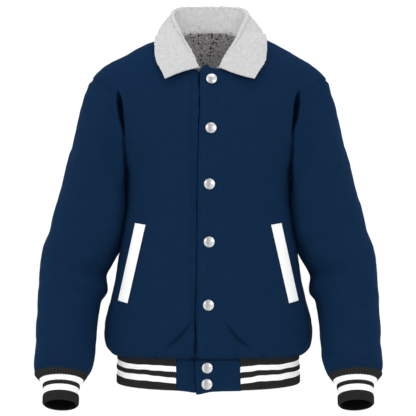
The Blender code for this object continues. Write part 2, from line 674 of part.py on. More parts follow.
# ---------------------------------------------------------------- collar
def neckline_point(share):
    """A point of the neckline on +X, from the back's middle (0) over the shoulder to the front end (1)."""
    if share < SHOULDER_SHARE:
        return panel(1, NECK_SHARE * share / SHOULDER_SHARE, -1.0, NECK_BACK, middle, True)
    first = left_edge(SHOULDER_Z)
    end = NECK_SHARE * (COLLAR_END_X - first) / (NECK_X - first)
    s = NECK_SHARE + (end - NECK_SHARE) * (share - SHOULDER_SHARE) / (1 - SHOULDER_SHARE)
    return panel(1, s, -1.0, NECK_LEFT, left_edge, False)


def lifted(points, side, clearance):
    """Points pushed out from the body's axis where they would lie less than clearance above its cloth."""
    x, y, z = points[..., 0], points[..., 1], points[..., 2]
    width = smooth(UPPER, 1, z)
    depth = np.where(y < 0, smooth(UPPER, 2, z), smooth(UPPER, 3, z))
    flat = (1 - np.clip(np.abs(x) / width, 0, 0.99) ** ROUNDNESS) ** (1 / ROUNDNESS)
    up = np.maximum(z - CHEST_Z, 0) / (shoulder_z(x, side) - CHEST_Z)
    out = np.abs(y) / (depth * flat)
    near = (up**TOP_ROUNDNESS + out**TOP_ROUNDNESS) ** (1 / TOP_ROUNDNESS)
    radius = np.hypot(y, z - CHEST_Z) / near
    wanted = 1 + clearance / np.clip(radius, 1, WIDEST_CURVE)
    grow = np.maximum(wanted / near, 1)
    return np.stack([x, y * grow, CHEST_Z + (z - CHEST_Z) * grow], -1)


def collar_line(share, side):
    """Outer points down the collar at one place of the neckline, in the coordinates of +X."""
    base = neckline_point(share)
    roll_top = np.array([smooth(COLLAR, c, share) for c in (1, 2, 3)])
    edge = np.array([smooth(COLLAR, c, share) for c in (4, 5, 6)])
    lean = COLLAR_LEAN * side * ease(*LEAN_HEIGHTS, roll_top[2])
    roll_top[0] += lean
    edge[0] += lean
    edge[0] -= COLLAR_NARROW * (side < 0) * ease(*NARROW_SHARES, share)
    radius = smooth(COLLAR, 7, share)
    outward = unit((roll_top - NECK_MIDDLE) * np.array([1.0, 1.0, 0]))
    ahead, behind = (np.array([smooth(COLLAR, c, share + step) for c in (1, 2, 3)])
                     for step in (CREST_STEP, -CREST_STEP))
    upward = unit(np.cross(ahead - behind, outward))
    inward = unit(NECK_MIDDLE - base * np.array([1.0, 1.0, 0]))
    inside = 1 - ease(*TUCK_SHARES, share)
    base = base + inward * (COLLAR_INSET + (CLOTH + FLEECE) * inside)
    base = base + UPWARD * (COLLAR_FOOT_GAP - (COLLAR_FOOT_GAP + COLLAR_TUCK) * inside)
    centre = roll_top - upward * radius
    stand = base + (centre - outward * radius - base) * np.array(STAND_ROWS)[:, None]
    turn = np.radians(ROLL_DEGREES)[:, None]
    roll = centre + radius * (upward * np.sin(turn) - outward * np.cos(turn))
    down = np.array(FALL_ROWS)[:, None]
    swell = outward * smooth(COLLAR, 8, share) + UPWARD * COLLAR_BOW[side] * ease(*BOW_SHARES, share)
    fall = roll[-1] + (edge - roll[-1]) * down + swell * np.sin(math.pi * down)
    return np.concatenate([stand, roll]), lifted(fall, side, FLEECE + COLLAR_CLEARANCE)


def collar(material):
    shares = np.linspace(-1, 1, COLLAR_COLUMNS + 1)
    rows = []
    for share in shares:
        side = -1 if share < 0 else 1
        stand, fall = collar_line(abs(share), side)
        rows.append(mirrored(np.concatenate([stand, fall]), side))
    outer = np.transpose(np.array(rows), (1, 0, 2))
    normals = grid_normals(outer, False)
    wall("collar", outer, outer - normals * FLEECE, False, material)


# ---------------------------------------------------------------- welts and snaps
def on_front(side, x, z):
    """A point of a front's surface at distance x from the middle and height z."""
    x, z = np.asarray(x, float), np.asarray(z, float)
    rows = np.linspace(0, LOWER_END, 400)
    low = np.interp(-z, -smooth(LOWER_AT, 1, rows), rows)
    width = np.where(z > UNDERARM_Z, smooth(UPPER, 1, z), smooth(LOWER_AT, 3, low))
    depth = np.where(z > UNDERARM_Z, smooth(UPPER, 2, z), smooth(LOWER_AT, 4, low))
    y = -depth * (1 - (np.abs(x) / width) ** ROUNDNESS) ** (1 / ROUNDNESS)
    return np.stack([x, np.where(z > UNDERARM_Z, y * top_factor(x, z, side), y), z], -1)


def front_normal(side, x, z):
    step = 1.0
    across = on_front(side, x + step, z) - on_front(side, x - step, z)
    down = on_front(side, x, z - step) - on_front(side, x, z + step)
    return unit(np.cross(down, across))


def welt_grid(columns, rows):
    """Points of a pocket welt's place on the front, and the normals there, on +X."""
    along, across = np.meshgrid(np.linspace(0, 1, rows), np.linspace(0, 1, columns), indexing="ij")
    corner = {name: np.array(place) for name, place in WELT.items()}
    outer = corner["top_outer"] + (corner["bottom_outer"] - corner["top_outer"]) * along[..., None]
    inner = corner["top_inner"] + (corner["bottom_inner"] - corner["top_inner"]) * along[..., None]
    place = inner + (outer - inner) * across[..., None]
    return on_front(1, place[..., 0], place[..., 1]), front_normal(1, place[..., 0], place[..., 1])


def pocket_welt(side, material):
    points, normals = welt_grid(4, 9)
    outer = points + normals * (WELT_GAP + WELT_CLOTH)
    inner = points + normals * WELT_GAP
    name = "pocket_welt_left" if side > 0 else "pocket_welt_right"
    wall(name, mirrored(outer, side), mirrored(inner, side), False, material)


def snap(number, x, z, material):
    """A domed cap turned about the cloth's normal."""
    if z > LOWER[-1][0]:
        place = on_front(1, x, z)
        normal = front_normal(1, x, z)
    else:
        row = np.interp(-z, [-ring[0] for ring in HEM], range(len(HEM)))
        place = hem_ring(angle_at(x, HEM[0][1]), row)
        normal = FRONTWARD
    place = place + normal * SEAM_GAP
    mesh = bpy.data.meshes.new(f"snap_{number}")
    points = [(r * SNAP_RADIUS * MM, 0.0, h * SNAP_HEIGHT * MM) for r, h in SNAP_PROFILE]
    mesh.from_pydata(points, [(i, i + 1) for i in range(len(points) - 1)], [])
    mesh.materials.append(material)
    cap = bpy.data.objects.new(f"snap_{number}", mesh)
    JACKET.objects.link(cap)
    turned = cap.modifiers.new("turned", "SCREW")
    turned.axis = "Z"
    turned.steps = SNAP_SIDES
    turned.render_steps = SNAP_SIDES
    turned.use_merge_vertices = True
    turned.merge_threshold = 0.0001
    turned.use_smooth_shade = True
    cap.location = place * MM
    cap.rotation_euler = (math.acos(normal[2]), 0.0, math.atan2(normal[0], -normal[1]))


# ---------------------------------------------------------------- the jacket
for old in list(bpy.data.objects):
    bpy.data.objects.remove(old)
JACKET = bpy.data.collections.new("varsity_jacket")
bpy.context.scene.collection.children.link(JACKET)

navy = cloth("navy_wool", 0.006, 0.022, 0.060, 0.9)
rib_knit = cloth("charcoal_rib", 0.023, 0.023, 0.024, 0.9)
collar_fleece = cloth("pale_fleece", 0.72, 0.72, 0.72, 0.95)
lining_fleece = cloth("grey_fleece", 0.17, 0.165, 0.165, 0.95)
white = cloth("white_trim", 0.92, 0.92, 0.92, 0.7)
metal = cloth("pearly_metal", 0.78, 0.78, 0.80, 0.25, 1.0)

back(navy)
lining_back(lining_fleece)
hem_rib(rib_knit)
collar(collar_fleece)
for side in (-1, 1):
    front(side, navy)
    sleeve(side, navy)
    cuff(side, rib_knit)
    hem_tab(side, navy)
    pocket_welt(side, white)
for number, (x, z) in enumerate(SNAPS, start=1):
    snap(number, x, z, metal)
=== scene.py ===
"""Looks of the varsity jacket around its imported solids: wool panels, ribs, fleece, welts, snaps and stitches.

The forms repeat the solids' sizes in millimetres, at a finer grain, and become metres when a mesh is made.
+Z is up, the front faces -Y and +X is the wearer's left.
"""

import math

import bpy
import numpy as np
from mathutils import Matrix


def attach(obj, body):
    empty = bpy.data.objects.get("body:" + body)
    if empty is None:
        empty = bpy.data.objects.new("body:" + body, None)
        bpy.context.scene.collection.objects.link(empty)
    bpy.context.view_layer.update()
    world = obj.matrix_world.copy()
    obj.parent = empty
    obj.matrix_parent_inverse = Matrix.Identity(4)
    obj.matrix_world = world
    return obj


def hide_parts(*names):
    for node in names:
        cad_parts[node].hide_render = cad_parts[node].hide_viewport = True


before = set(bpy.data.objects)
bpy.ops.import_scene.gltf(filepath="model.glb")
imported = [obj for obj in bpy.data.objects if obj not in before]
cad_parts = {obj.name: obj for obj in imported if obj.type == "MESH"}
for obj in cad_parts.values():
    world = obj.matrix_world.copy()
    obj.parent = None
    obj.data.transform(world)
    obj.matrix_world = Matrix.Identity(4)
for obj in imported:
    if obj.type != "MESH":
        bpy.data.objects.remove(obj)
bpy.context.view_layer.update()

MM = 0.001

# ---- cloth
CLOTH = 2.0  # body cloth
WELT_CLOTH = 2.0
WELT_GAP = 0.9  # under a welt, over the front's facets
TAB_CLOTH = 2.4
LINING = 1.6
LINING_GAP = 3.4
FLEECE = 3.0
RIB_CLOTH = 1.8
RIB_RAISE = (2.3, 0.8, 2.3)  # of the charcoal bands and the white stripes, by material
RIB_PITCH = 4.5
SEAM_GAP = 0.4
SLEEVE_SEAM_GAP = 2.3
UNDERARM_GAP = 0.6  # at the underarm the sleeve also stands this far outside the armhole

# ---- body, from the hem seam up to the neck
ROUNDNESS = 2.4  # exponent of a section's outline in plan
TOP_ROUNDNESS = 2.5  # exponent of the shoulder's outline from the side
UNDERARM_Z = -262.0
CHEST_Z = -200.0  # the shoulders start to round in above this height
# Below the underarm: height at the middle and at the side, half width, front depth, back depth.
LOWER = (
    (-262, -262, 163, 122, 111),
    (-315, -315, 163.5, 122, 110),
    (-340, -340, 166.5, 121.5, 110),
    (-366, -366, 170, 121.5, 110),
    (-405, -405, 175.5, 121.5, 111),
    (-440, -440, 180.5, 121.5, 112),
    (-473, -473, 185.5, 121.5, 114),
    (-515, -515, 195, 122.5, 117),
    (-554, -554, 205, 123.5, 119.5),
    (-578, -580, 207, 123.5, 120.5),
    (-596, -598, 204.5, 121.5, 119.5),
    (-607, -611, 195.5, 116.5, 115),
    (-614, -619, 185.5, 108.5, 107),
    (-617.5, -621, 181, 102.5, 100.5),
)
# Above the underarm: height, half width, front depth, back depth.
UPPER = (
    (-262, 163, 122, 111),
    (-235, 170, 122, 112),
    (-200, 177, 121, 112),
    (-160, 191, 118, 110),
    (-125, 207, 115, 106),
    (-95, 224, 109, 101),
    (-67, 238, 103, 96),
    (0, 252, 98, 90),
    (80, 256, 94, 86),
)
# The shoulders' heights by distance from the middle: on the wearer's right, then on the left, which sits a
# little higher. Inside the neck it is where the neck would go on.
SHOULDER = (
    (0, 62, 62),
    (35, 46, 46),
    (70, 15, 16),
    (107, 3, 8),
    (128, -5, 0),
    (164, -25, -20),
    (203, -44.5, -43),
    (222, -58.5, -58),
    (229, -67, -67),
    (240, -80, -80),
)
NECK_X = 70.0  # the neck point, where neckline and shoulder seam meet
NECK_SHARE = 0.42  # share of a panel's columns that end on its neckline
SHOULDER_X = 229.0
SHOULDER_Z = -67.0
RISE_POWER = 1.3  # above the underarm the columns leave their places there slowly at first
ARM_POWER = 2.0  # the armhole draws the columns in, those near the middle least
# The armholes' edges: height, distance from the middle at the front, and at the back.
ARMHOLE = (
    (-262, 163, 163),
    (-235, 161.5, 165),
    (-200, 162, 168),
    (-160, 165, 175),
    (-125, 174, 188),
    (-109, 184.5, 198),
    (-95, 199, 206),
    (-80, 214, 218),
    (-67, 229, 229),
)
# Necklines: distance from the middle, height. Those of the fronts start at their own edge.
NECK_BACK = ((0, 31), (35, 28.5), (58, 20), (70, 15))
NECK_LEFT = ((-25, -72), (-15.5, -66), (-5, -55.5), (8, -63), (24, -64), (42, -42),
             (54, -20.5), (63, 0), (70, 15))
NECK_RIGHT = ((-25, -66), (-5, -65.2), (24, -64.2), (42, -42), (54, -20.5), (63, 0),
              (70, 15))
# The front edge of the lapped-over left front: height, distance past the middle.
FRONT_EDGE = ((-700, 20.5), (-617, 25), (-580, 23), (-542, 24.5), (-485, 23), (-383, 21), (-315, 20.5),
              (-219, 17.6), (-165, 16.4), (-140, 13), (-90, 14.2), (-66, 15.5))
UNDERLAP = 18.0  # how far the right front reaches past the middle, under the left one
LAP_STEP = (27.5, 38.0)  # between these distances the right front steps in under the left one
LAP_GAP = 1.2
# Soft creases in the fronts above the hem: side, start x, start z, end x, end z, width, depth.
FRONT_CREASES = (
    (-1, 49, -567, 80, -595, 13, 4),
    (1, 46, -566, 78, -597, 12, 3.5),
    (-1, 116, -560, 150, -600, 16, 3),
    (1, 112, -548, 140, -592, 16, 3),
)
CREASE_ENDS = 0.15  # a crease starts and ends at this share of its half wave
TROUGH_ENDS = 0.7  # a lower power lets a trough end more suddenly
# Gathers: their number in each quarter of the hem, depth, height, and the height over which they grow from
# the seam; by how many radians they shift, and in what waves; the share by which their depth varies, in what
# waves, and the phase of these.
BROAD_GATHERS = (7, 1.6, 34.0, 6.0, (0.9, 7.0), (0.35, 5.3, 1.0))
FINE_GATHERS = (19, 1.0, 17.0, 0.0, (1.7, 9.0), (0.4, 23.0, 0.0))
GATHER_EDGE = (24.0, 56.0)  # distances from the middle over which the gathers grow

# ---- sleeves
# Down the sleeve: outer x and z, inner x and z, the middle's y, half the depth from front to back.
SLEEVE = (
    (229, -67, 164, -262, 0, 66),
    (239, -86, 166, -272, 0, 70),
    (252.5, -125, 165, -283, 1, 75),
    (261.5, -162, 163, -295, 2, 80),
    (270.5, -202, 161.5, -308, 3, 82),
    (282, -238, 161.5, -325, 4, 81),
    (290.5, -276, 163, -345, 4, 79),
    (298.5, -307, 166, -365, 3, 78),
    (308.5, -340, 170, -388, 1, 76),
    (315.5, -375, 176.5, -412, -2, 75),
    (329, -412, 189, -441, -7, 73),
    (334, -446, 201, -466, -11.5, 70),
    (335, -478, 199.5, -491, -17.5, 68),
    (338, -508, 211, -512, -24, 66),
    (336, -533, 216, -539, -31, 64),
    (337.5, -566, 218.5, -570, -41, 63),
    (336.5, -596, 219.5, -600, -51.5, 62),
    (337.5, -622, 221.5, -624, -60.5, 60),
    (336.5, -639, 226.5, -641, -67, 55),
    (333.5, -652, 233, -652.5, -72.5, 47),
)
SLEEVE_CLEARANCE = 1.8  # between a sleeve and the body's side, along which it hangs
HANG_DROP = 2.0  # it does so from this far below the underarm
# Beside the body its inner half is squarer than an ellipse: by how much the exponent of its outline grows,
# and the rows over which it grows and falls back.
SLEEVE_SQUARE = 2.8
SQUARE_ROWS = ((0.0, 2.0), (7.5, 10.5))
FOLD_START = (0.2, 1.5)  # rows over which the folds grow below the armhole
ARMHOLE_BLEND_ROWS = 4  # over these rows the sleeve's section leaves the armhole's outline
# Folds across a sleeve: row, angle round it (0 outer, 90 front, 180 inner), rows wide, degrees wide, depth.
SLEEVE_FOLDS = (
    (1, 72, 0.9, 34, -11),
    (2.2, 82, 0.9, 28, -6),
    (1.2, 285, 1, 34, -5),
    (9, 120, 0.7, 50, -4),
    (11, 110, 0.6, 60, -5),
    (12, 100, 0.6, 60, 3),
    (13, 70, 0.7, 60, -4),
    (10, 250, 0.7, 60, -4),
    (16, 90, 0.7, 60, -3),
)

# ---- ribs: hem band and cuffs
# Down the hem band: height, half width, front depth, back depth.
HEM = (
    (-618.1, 178.8, 102.5, 100.5),
    (-677, 180.6, 103, 101),
)
HEM_SIDE_DROP = 3.5  # the band's upper edge sits lower at the sides
HEM_SIDE_RISE = 2.5  # and its lower edge higher
TAB_HALF = 61.0  # from the middle to the seam of tab and band
TAB_LAP_GAP = 1.0
TAB_DROP = {1: 1.5, -1: 0.5}  # how far the left and the right tab's lower edges sink
# They sink more near the overlap: where, how far, and over what width.
TAB_SAG = {1: (-24.0, 6.0, 22.0), -1: (24.0, 4.2, 19.0)}
# Down the cuff: middle x, y and z, half width, half depth, forward lean in degrees.
CUFF = (
    (284, -73.2, -653.8, 48.5, 45, 24),
    (283, -77.8, -662.5, 40.5, 38.5, 26),
    (282.5, -84.5, -675, 33.2, 33, 28),
    (281.5, -100.5, -703, 32.4, 32.4, 30),
)
CUFF_RIBS = 46

# ---- collar
# From the back's middle to the front end, on the wearer's left: share of the neckline, then the roll's
# crest (x, y, z), the fall's free edge (x, y, z), the roll's radius and how far the fall swells outwards.
COLLAR = (
    (0.00, 0, 65, 84, 0, 92, 16, 5, 3),
    (0.20, 38.5, 60, 83, 52, 84, 13, 5, 4),
    (0.36, 66, 41, 77, 95, 52, 5, 5, 7),
    (0.50, 75.5, 6, 60, 109.5, 4, 4, 5, 8),
    (0.66, 63, -32, 27, 111, -46, -19, 5, 3),
    (0.80, 49, -64, -3, 107.5, -77, -42, 4.5, 1),
    (0.92, 29.5, -88, -36.5, 94.5, -98, -66, 4, 0),
    (1.00, 19.5, -98, -59.5, 86, -108, -82, 3.5, 0),
)
COLLAR_LEAN = 3.0  # the roll leans this far to the wearer's left
LEAN_HEIGHTS = (-90.0, -10.0)
COLLAR_NARROW = 3.5  # the fall on the wearer's right is this much narrower
NARROW_SHARES = (0.36, 0.5)  # it becomes so between these shares of the neckline
COLLAR_BOW = {1: -2.0, -1: 2.2}  # the fall's front edge bows up by this much on the left and the right
BOW_SHARES = (0.88, 1.0)
COLLAR_TUCK = 3.0  # round the back the collar's foot stands this far down inside the neckline
COLLAR_FOOT_GAP = 3.6  # and at the front this far above it
TUCK_SHARES = (0.45, 0.62)  # it changes over between these shares of the neckline
COLLAR_INSET = 1.0
COLLAR_END_X = 17.0  # distance from the middle at which the collar ends
SHOULDER_SHARE = 0.5  # share of the neckline that lies on the back
NECK_MIDDLE = np.array([0.0, -18.0, 0.0])
COLLAR_CLEARANCE = 2.2  # between the fall and the cloth below it
WIDEST_CURVE = 120.0  # the lift is worked out for curves no wider than this
CREST_STEP = 0.01  # share of the neckline over which the crest's direction is taken

# ---- welts and snaps
# Corners of a welt on the front: distance from the middle and height.
WELT = {
    "top_outer": (139, -360),
    "top_inner": (120, -363),
    "bottom_outer": (172.5, -508.5),
    "bottom_inner": (154.5, -512),
}
# Snaps on the left front and its tab: x, z.
SNAPS = ((6.3, -84), (5.1, -178.6), (2.3, -284.6), (1.7, -394), (0.4, -513.3), (-2, -634.5),
         (-2.5, -665.5))
SNAP_RADIUS = 10.4
SNAP_HEIGHT = 4.6

SMALL = 1e-3  # step for slopes
LOWER_STEPS = 400  # steps over which a height below the underarm is looked up
FRONTWARD = np.array([0.0, -1.0, 0.0])
UPWARD = np.array([0.0, 0.0, 1.0])
LEVEL = np.array([1.0, 1.0, 0.0])  # times a direction, its level part

# ---- finer form of the cloth
# Rows of the body's panels: places down them and how many rows lie between, above the underarm and below it.
BODY_ROWS = ((-1.0, 0.0, 67), (0.0, len(LOWER) - 1, 83))
# A front's columns: places across it and how many lie between them, closer beside the other front's edge.
FRONT_COLUMNS = ((0.0, 0.062, 8), (0.062, 0.19, 66), (0.19, 1.0, 132))
# Beside the lapped-over edge the right front sinks into a groove: height, half width, depth.
EDGE_GROOVE = ((-720, 1.3, 7), (-622, 1.3, 7), (-610, 2, 9), (-545, 1.9, 9), (-530, 1, 5), (-380, 0.7, 3),
               (-300, 0.8, 4), (-200, 0.9, 5), (-150, 1.2, 8), (-134, 2.6, 14), (-80, 2.8, 14),
               (-60, 2.2, 10))
GROOVE_UNEVEN = ((0.35, 14.0), (0.25, 5.3))  # shares by which its width varies, and over what heights
GROOVE_OFF = 0.9  # its middle lies this far from the edge
BACK_COLUMNS = 161
SLEEVE_ROWS = ((0.0, 1.6, 52), (1.6, 19.0, 150))  # places down it and how many rows lie between them
SLEEVE_COLUMNS = 144
# The slit fold beside the armhole in front: height, distance from the middle, half width, depth.
SLIT = ((-194, 162, 0.8, 0), (-186, 162.6, 1.2, 8), (-172, 165, 2.6, 20), (-155, 168.2, 4.4, 30),
        (-130, 170.6, 5, 32), (-116, 171.8, 3.8, 24), (-107, 173.4, 2.2, 8), (-100, 175, 1.4, 0))
SLIT_WALL = 1.6  # the inner face's fold is this much wider on each side
SLIT_FRONT = (0.0, 20.0)  # it deepens between these depths in front of the side seam
# How far out and down the end of the left (1) and the right (-1) shoulder moves, and what moves with it.
SHOULDER_NUDGE = {1: (6.0, 5.0), -1: (1.5, 4.0)}
NUDGE_REACH = 20.0
SHOULDER_STEP = (2.8, 14.0, 0.7)  # over the shoulder the sleeve starts lower: by how much, degrees, rows
STEP_ENDS = (0.4, 1.0)  # shares of these degrees over which it ends
RIM = 0.5  # a cut edge rounds out by this share of the cloth's thickness
NAP_DEPTH = 0.25  # unevenness of the wool's surface, and its grain
NAP_GRAIN = 22.0
# Which unevenness each piece gets; the left one of a pair takes the next number, the right one that before.
SEEDS = {"front": 10, "back": 20, "lining": 31, "sleeve": 40, "tab": 50, "collar": 61, "collar_fine": 62}
# Shallow troughs and, with a negative depth, ridges in a front: side, then x and z of the start, the bend and
# the end, width, depth.
FRONT_TROUGHS = (
    (-1, 25, -538, 52, -572, 84, -601, 2.9, 7),
    (1, 28, -541, 54, -576, 86, -601, 2.9, 7),
    (-1, 150, -560, 172, -575, 190, -596, 7, 1.2),
    (1, 160, -556, 178, -575, 192, -594, 7, 1.2),
    (-1, 100, -575, 112, -594, 116, -612, 5, 0.9),
    (1, 104, -572, 112, -592, 118, -611, 5, 0.9),
    (-1, 150, -120, 140, -150, 136, -190, 9, 0.8),
    (1, 148, -118, 141, -150, 137, -190, 9, 0.8),
    (-1, 128, -268, 112, -290, 104, -318, 10, 0.8),
    (1, 132, -262, 114, -286, 108, -312, 10, 0.8),
)
# Troughs and ridges across a sleeve: row and angle of its start and end, width in mm, depth.
SLEEVE_TROUGHS = (
    (8.6, 150, 10.4, 40, 9, 1.8),
    (9.4, 160, 11.2, 70, 8, -1.4),
    (10.6, 165, 12, 60, 8, 1.8),
    (11.6, 60, 12.4, 5, 7, 1.3),
    (12.6, 150, 13.2, 60, 7, 1.4),
    (13.8, 120, 14.1, 20, 6, 1.2),
    (14.9, 170, 15.2, 90, 6, 1.2),
    (15.6, 70, 15.9, 0, 6, 1.1),
    (16.8, 160, 16.6, 70, 6, 1.1),
    (9, 210, 10.6, 320, 9, 1.8),
    (10.8, 200, 11.8, 300, 8, 1.6),
    (12.8, 215, 13.4, 330, 7, 1.4),
    (14.6, 200, 15, 320, 6, 1.2),
    (16.4, 210, 16.8, 330, 6, 1.1),
    (2.2, 100, 3.6, 60, 8, 1.2),
    (1.6, 60, 2.6, 20, 8, 0.9),
)
# Gathers round a sleeve's end, described as those of the hem, with rows in place of heights.
CUFF_GATHERS = (26, 0.9, 1.6, 0.25, (1.3, 3.0), (0.4, 7.0, 1.0))
SEAM_TUCK = 0.4  # the sleeve's first ring stands this far from the armhole's edge
SEAM_SINK = 0.15  # and this far below its surface
CUFF_DOUBLED = 3.0  # round its mouth a cuff is this much thicker
CUFF_DOUBLED_ROWS = (2.0, 2.8)
CUFF_TUCK = 3.5  # a cuff's first ring reaches this far up into the sleeve
CUFF_TUCK_IN = 0.8
HEM_TUCK = 1.5  # and the hem band's up behind the body
HEM_BELLY = 0.6  # the band swells this much half way down

LENGTH_STEPS = 2000  # steps over which the band's length is measured
RIB_COLUMNS = 6  # to a rib
RIB_ROWS = 26
TAB_COLUMNS = 100
TAB_ROWS = 45
TAB_CREASE = ((4.0, -668.0), (10.0, -671.0), (15.0, -676.0))
TAB_CREASE_WIDTH = 2.5
TAB_CREASE_DEPTH = 1.3
# The seam above a tab: depth, half width, the share by which it varies, and over what width.
TAB_SEAM = (5.0, 2.0, 0.75, 4.3)
# Where white, charcoal, white and charcoal start down the band, as shares of its height, by the distance from
# the middle, and down the cuff, as rows of its table.
HEM_STRIPES = (
    (61, 0.249, 0.430, 0.630, 0.806),
    (100, 0.206, 0.382, 0.560, 0.750),
    (136, 0.212, 0.380, 0.541, 0.748),
    (181, 0.145, 0.345, 0.525, 0.715),
)
CUFF_STRIPES = (0.90, 1.69, 2.15, 2.54)
STRIPE_WAVE = 1.3  # a stripe's edge moves by this much over each rib
STRIPE_SWAY = ((0.5, 9.0), (0.35, 4.3))  # and slowly by this much, and over what distance along the band
RIB_ROUND = 0.5  # exponent of a rib's outline

COLLAR_COLUMNS = 400
STAND_ROWS = 12
ROLL_STEPS = 12
FALL_ROWS = 30
FLEECE_GRAIN = 8.0
FLEECE_DEPTH = 0.45
COLLAR_EDGE = 0.97  # the collar's painted highlight along its edge starts at this share of the fall
COLLAR_FOOT = 0.06  # and the painted highlight along its foot ends at this share of the stand
# The lining's upper edge: distance from the middle, height above the neckline.
LINING_LIFT = ((0, -1.3), (20, -1), (35, 0.3), (48, 4.5), (58, 7), (66, 6), (78, -3.6))
LINING_SHARE = 0.83  # of the back's width from its middle
LINING_END = -0.4
LINING_COLUMNS = 140
LINING_ROWS = 60

STITCH_PITCH = 3.6
STITCH_LENGTH = 2.5
STITCH_RADIUS = 0.32
STITCH_SIDES = 6
STITCH_PROFILE = ((0.0, 0.45), (0.2, 0.95), (0.8, 0.95), (1.0, 0.45))  # share of its length, of its radius
STITCH_RISE = 0.3  # a stitch's middle stands this share of its radius above the cloth
STITCH_LOOK = 0.5  # a stitch heads for the place this far ahead
EDGE_STITCH = 9.0  # from the front's edge
EDGE_STITCH_RUN = (-0.985, len(LOWER) - 1.06, 0.12)  # first and last place down the front, share of its width
EDGE_STITCH_GRID = (40, 160)  # the columns and rows in which its line is looked up
TAB_STITCH = 5.0
WELT_STITCH = (0.016, 0.12)  # shares of a welt's length and width in from its edges
WELT_STITCH_STEPS = (60, 8, 60, 8)  # down, across, up and back
WELT_COLUMNS = 16
WELT_ROWS = 90
WELT_SWELL = 0.5
SNAP_SEGMENTS = 48
# Down the cap from its dome's first ring: share of the radius, share of the height.
SNAP_PROFILE = ((0.10, 0.985), (0.25, 0.955), (0.42, 0.90), (0.58, 0.82), (0.72, 0.71), (0.82, 0.60),
                (0.87, 0.54), (0.90, 0.53), (0.94, 0.53), (0.98, 0.44), (1, 0.32), (1, 0.12), (0.97, 0))
SNAP_TOP = 0.99

# ---- looks and studio
WOOL_SHEEN = 0.25
WOOL_TINT = 3.0  # the nap catches light in this many times the wool's own colour
# Soft bands of painted reflection on the snaps' metal: share of the snap's width, brightness.
PAINTED_REFLECTION_BANDS = ((0.0, 1.25), (0.14, 1.2), (0.36, 0.66), (0.5, 0.82), (0.75, 1.1), (1.0, 1.25))
# In metres: the camera looks level at the jacket from in front.
CAMERA_DISTANCE = 2.2
CAMERA_HEIGHT = -0.330
CAMERA_LENS = 95.3
SENSOR = 36.0
CAMERA_SHIFT = -0.3 / 416  # 0.3 of a pixel, as a share of the picture's width
FLOOR_HEIGHT = -1.42
FLOOR_SIZE = 60.0
FLOOR_COLOUR = (0.95, 0.95, 0.95, 1)
WORLD_STRENGTH = 1.07
# Soft area lights: place, size, watts.
LIGHTS = (
    ((-2.3, -1.6, 0.9), 1.2, 12),
    ((1.5, -2.4, 0.4), 1.2, 9),
    ((0, -0.4, 2.2), 1.6, 12),
)
LIT_POINT = (0.0, 0.0, -0.3)


# ---- curves
def smooth(rows, column, at):
    """A monotone cubic curve through one column of a table, which never overshoots a row."""
    xs, ys = np.array(rows, float)[:, [0, column]].T
    at = np.clip(np.asarray(at, float), xs[0], xs[-1])
    step = np.diff(xs)
    slope = np.diff(ys) / step
    before, after = slope[:-1], slope[1:]
    alike = before * after > 0
    inner = np.where(alike, 2 * before * after / np.where(alike, before + after, 1), 0)
    tangent = np.concatenate([slope[:1], inner, slope[-1:]])
    k = np.clip(np.searchsorted(xs, at, side="right") - 1, 0, len(xs) - 2)
    t = (at - xs[k]) / step[k]
    rise = ys[k] * (1 + 2 * t) * (1 - t) ** 2 + ys[k + 1] * t * t * (3 - 2 * t)
    return rise + step[k] * t * (1 - t) * (tangent[k] * (1 - t) - tangent[k + 1] * t)


def curves(rows, at):
    """The curves through all of a table's columns but the first."""
    return [smooth(rows, column, at) for column in range(1, len(rows[0]))]


def ease(low, high, at):
    """0 below low, 1 above high and a smooth step between."""
    t = np.clip((np.asarray(at, float) - low) / (high - low), 0, 1)
    return t * t * (3 - 2 * t)


def power(value, exponent):
    """A power that keeps the value's sign."""
    return np.sign(value) * np.abs(value) ** exponent


def unit(vectors):
    return vectors / np.maximum(np.linalg.norm(vectors, axis=-1, keepdims=True), 1e-12)


def stations(rows):
    """A table's rows with their number put first, to read them by place."""
    return [(i, *row) for i, row in enumerate(rows)]


def run_length(line):
    """The length along a line of points up to each of them."""
    return np.concatenate([[0], np.cumsum(np.linalg.norm(np.diff(line, axis=0), axis=1))])


def at_length(values, length, at):
    """What a line's points carry, at places given by its length."""
    return np.stack([np.interp(at, length, values[:, k]) for k in range(3)], axis=-1)


def grid_normals(points, closed):
    """Unit normals of a grid of points, rows by columns; closed grids go round in their columns."""
    if closed:
        across = np.roll(points, -1, 1) - np.roll(points, 1, 1)
    else:
        across = np.gradient(points, axis=1)
    return unit(np.cross(across, np.gradient(points, axis=0)))


# ---- the body's surface
LOWER_AT = stations(LOWER)
LOWER_END = len(LOWER) - 1


def in_plan(theta, width, front, back):
    """x and y of a section at an angle from the front's middle round to the back's."""
    x = width * power(np.sin(theta), 2 / ROUNDNESS)
    y = -power(np.cos(theta), 2 / ROUNDNESS)
    return x, y * np.where(y < 0, front, back)


def angle_at(x, width):
    """The angle from the middle at which a section is x wide."""
    return np.arcsin(np.clip(power(x / width, ROUNDNESS / 2), -1, 1))


def shoulder_z(x, side):
    """The shoulder's height at a distance from the middle, on the wearer's left (1) or right (-1)."""
    return smooth(SHOULDER, 2 if side > 0 else 1, np.abs(x))


def top_factor(x, z, side):
    """How much of its depth a section keeps as the shoulder rounds in."""
    t = np.clip((z - CHEST_Z) / (shoulder_z(x, side) - CHEST_Z), 0, 1)
    return (1 - t**TOP_ROUNDNESS) ** (1 / TOP_ROUNDNESS)


def top_edge(side, neckline, s, first_x):
    """x and z of a panel's upper edge: its neckline over the first part, then the shoulder."""
    on_neck = first_x + (NECK_X - first_x) * s / NECK_SHARE
    on_shoulder = NECK_X + (SHOULDER_X - NECK_X) * (s - NECK_SHARE) / (1 - NECK_SHARE)
    x = np.where(s < NECK_SHARE, on_neck, on_shoulder)
    z = np.where(s < NECK_SHARE, smooth(neckline, 1, x), shoulder_z(x, side))
    return x, z


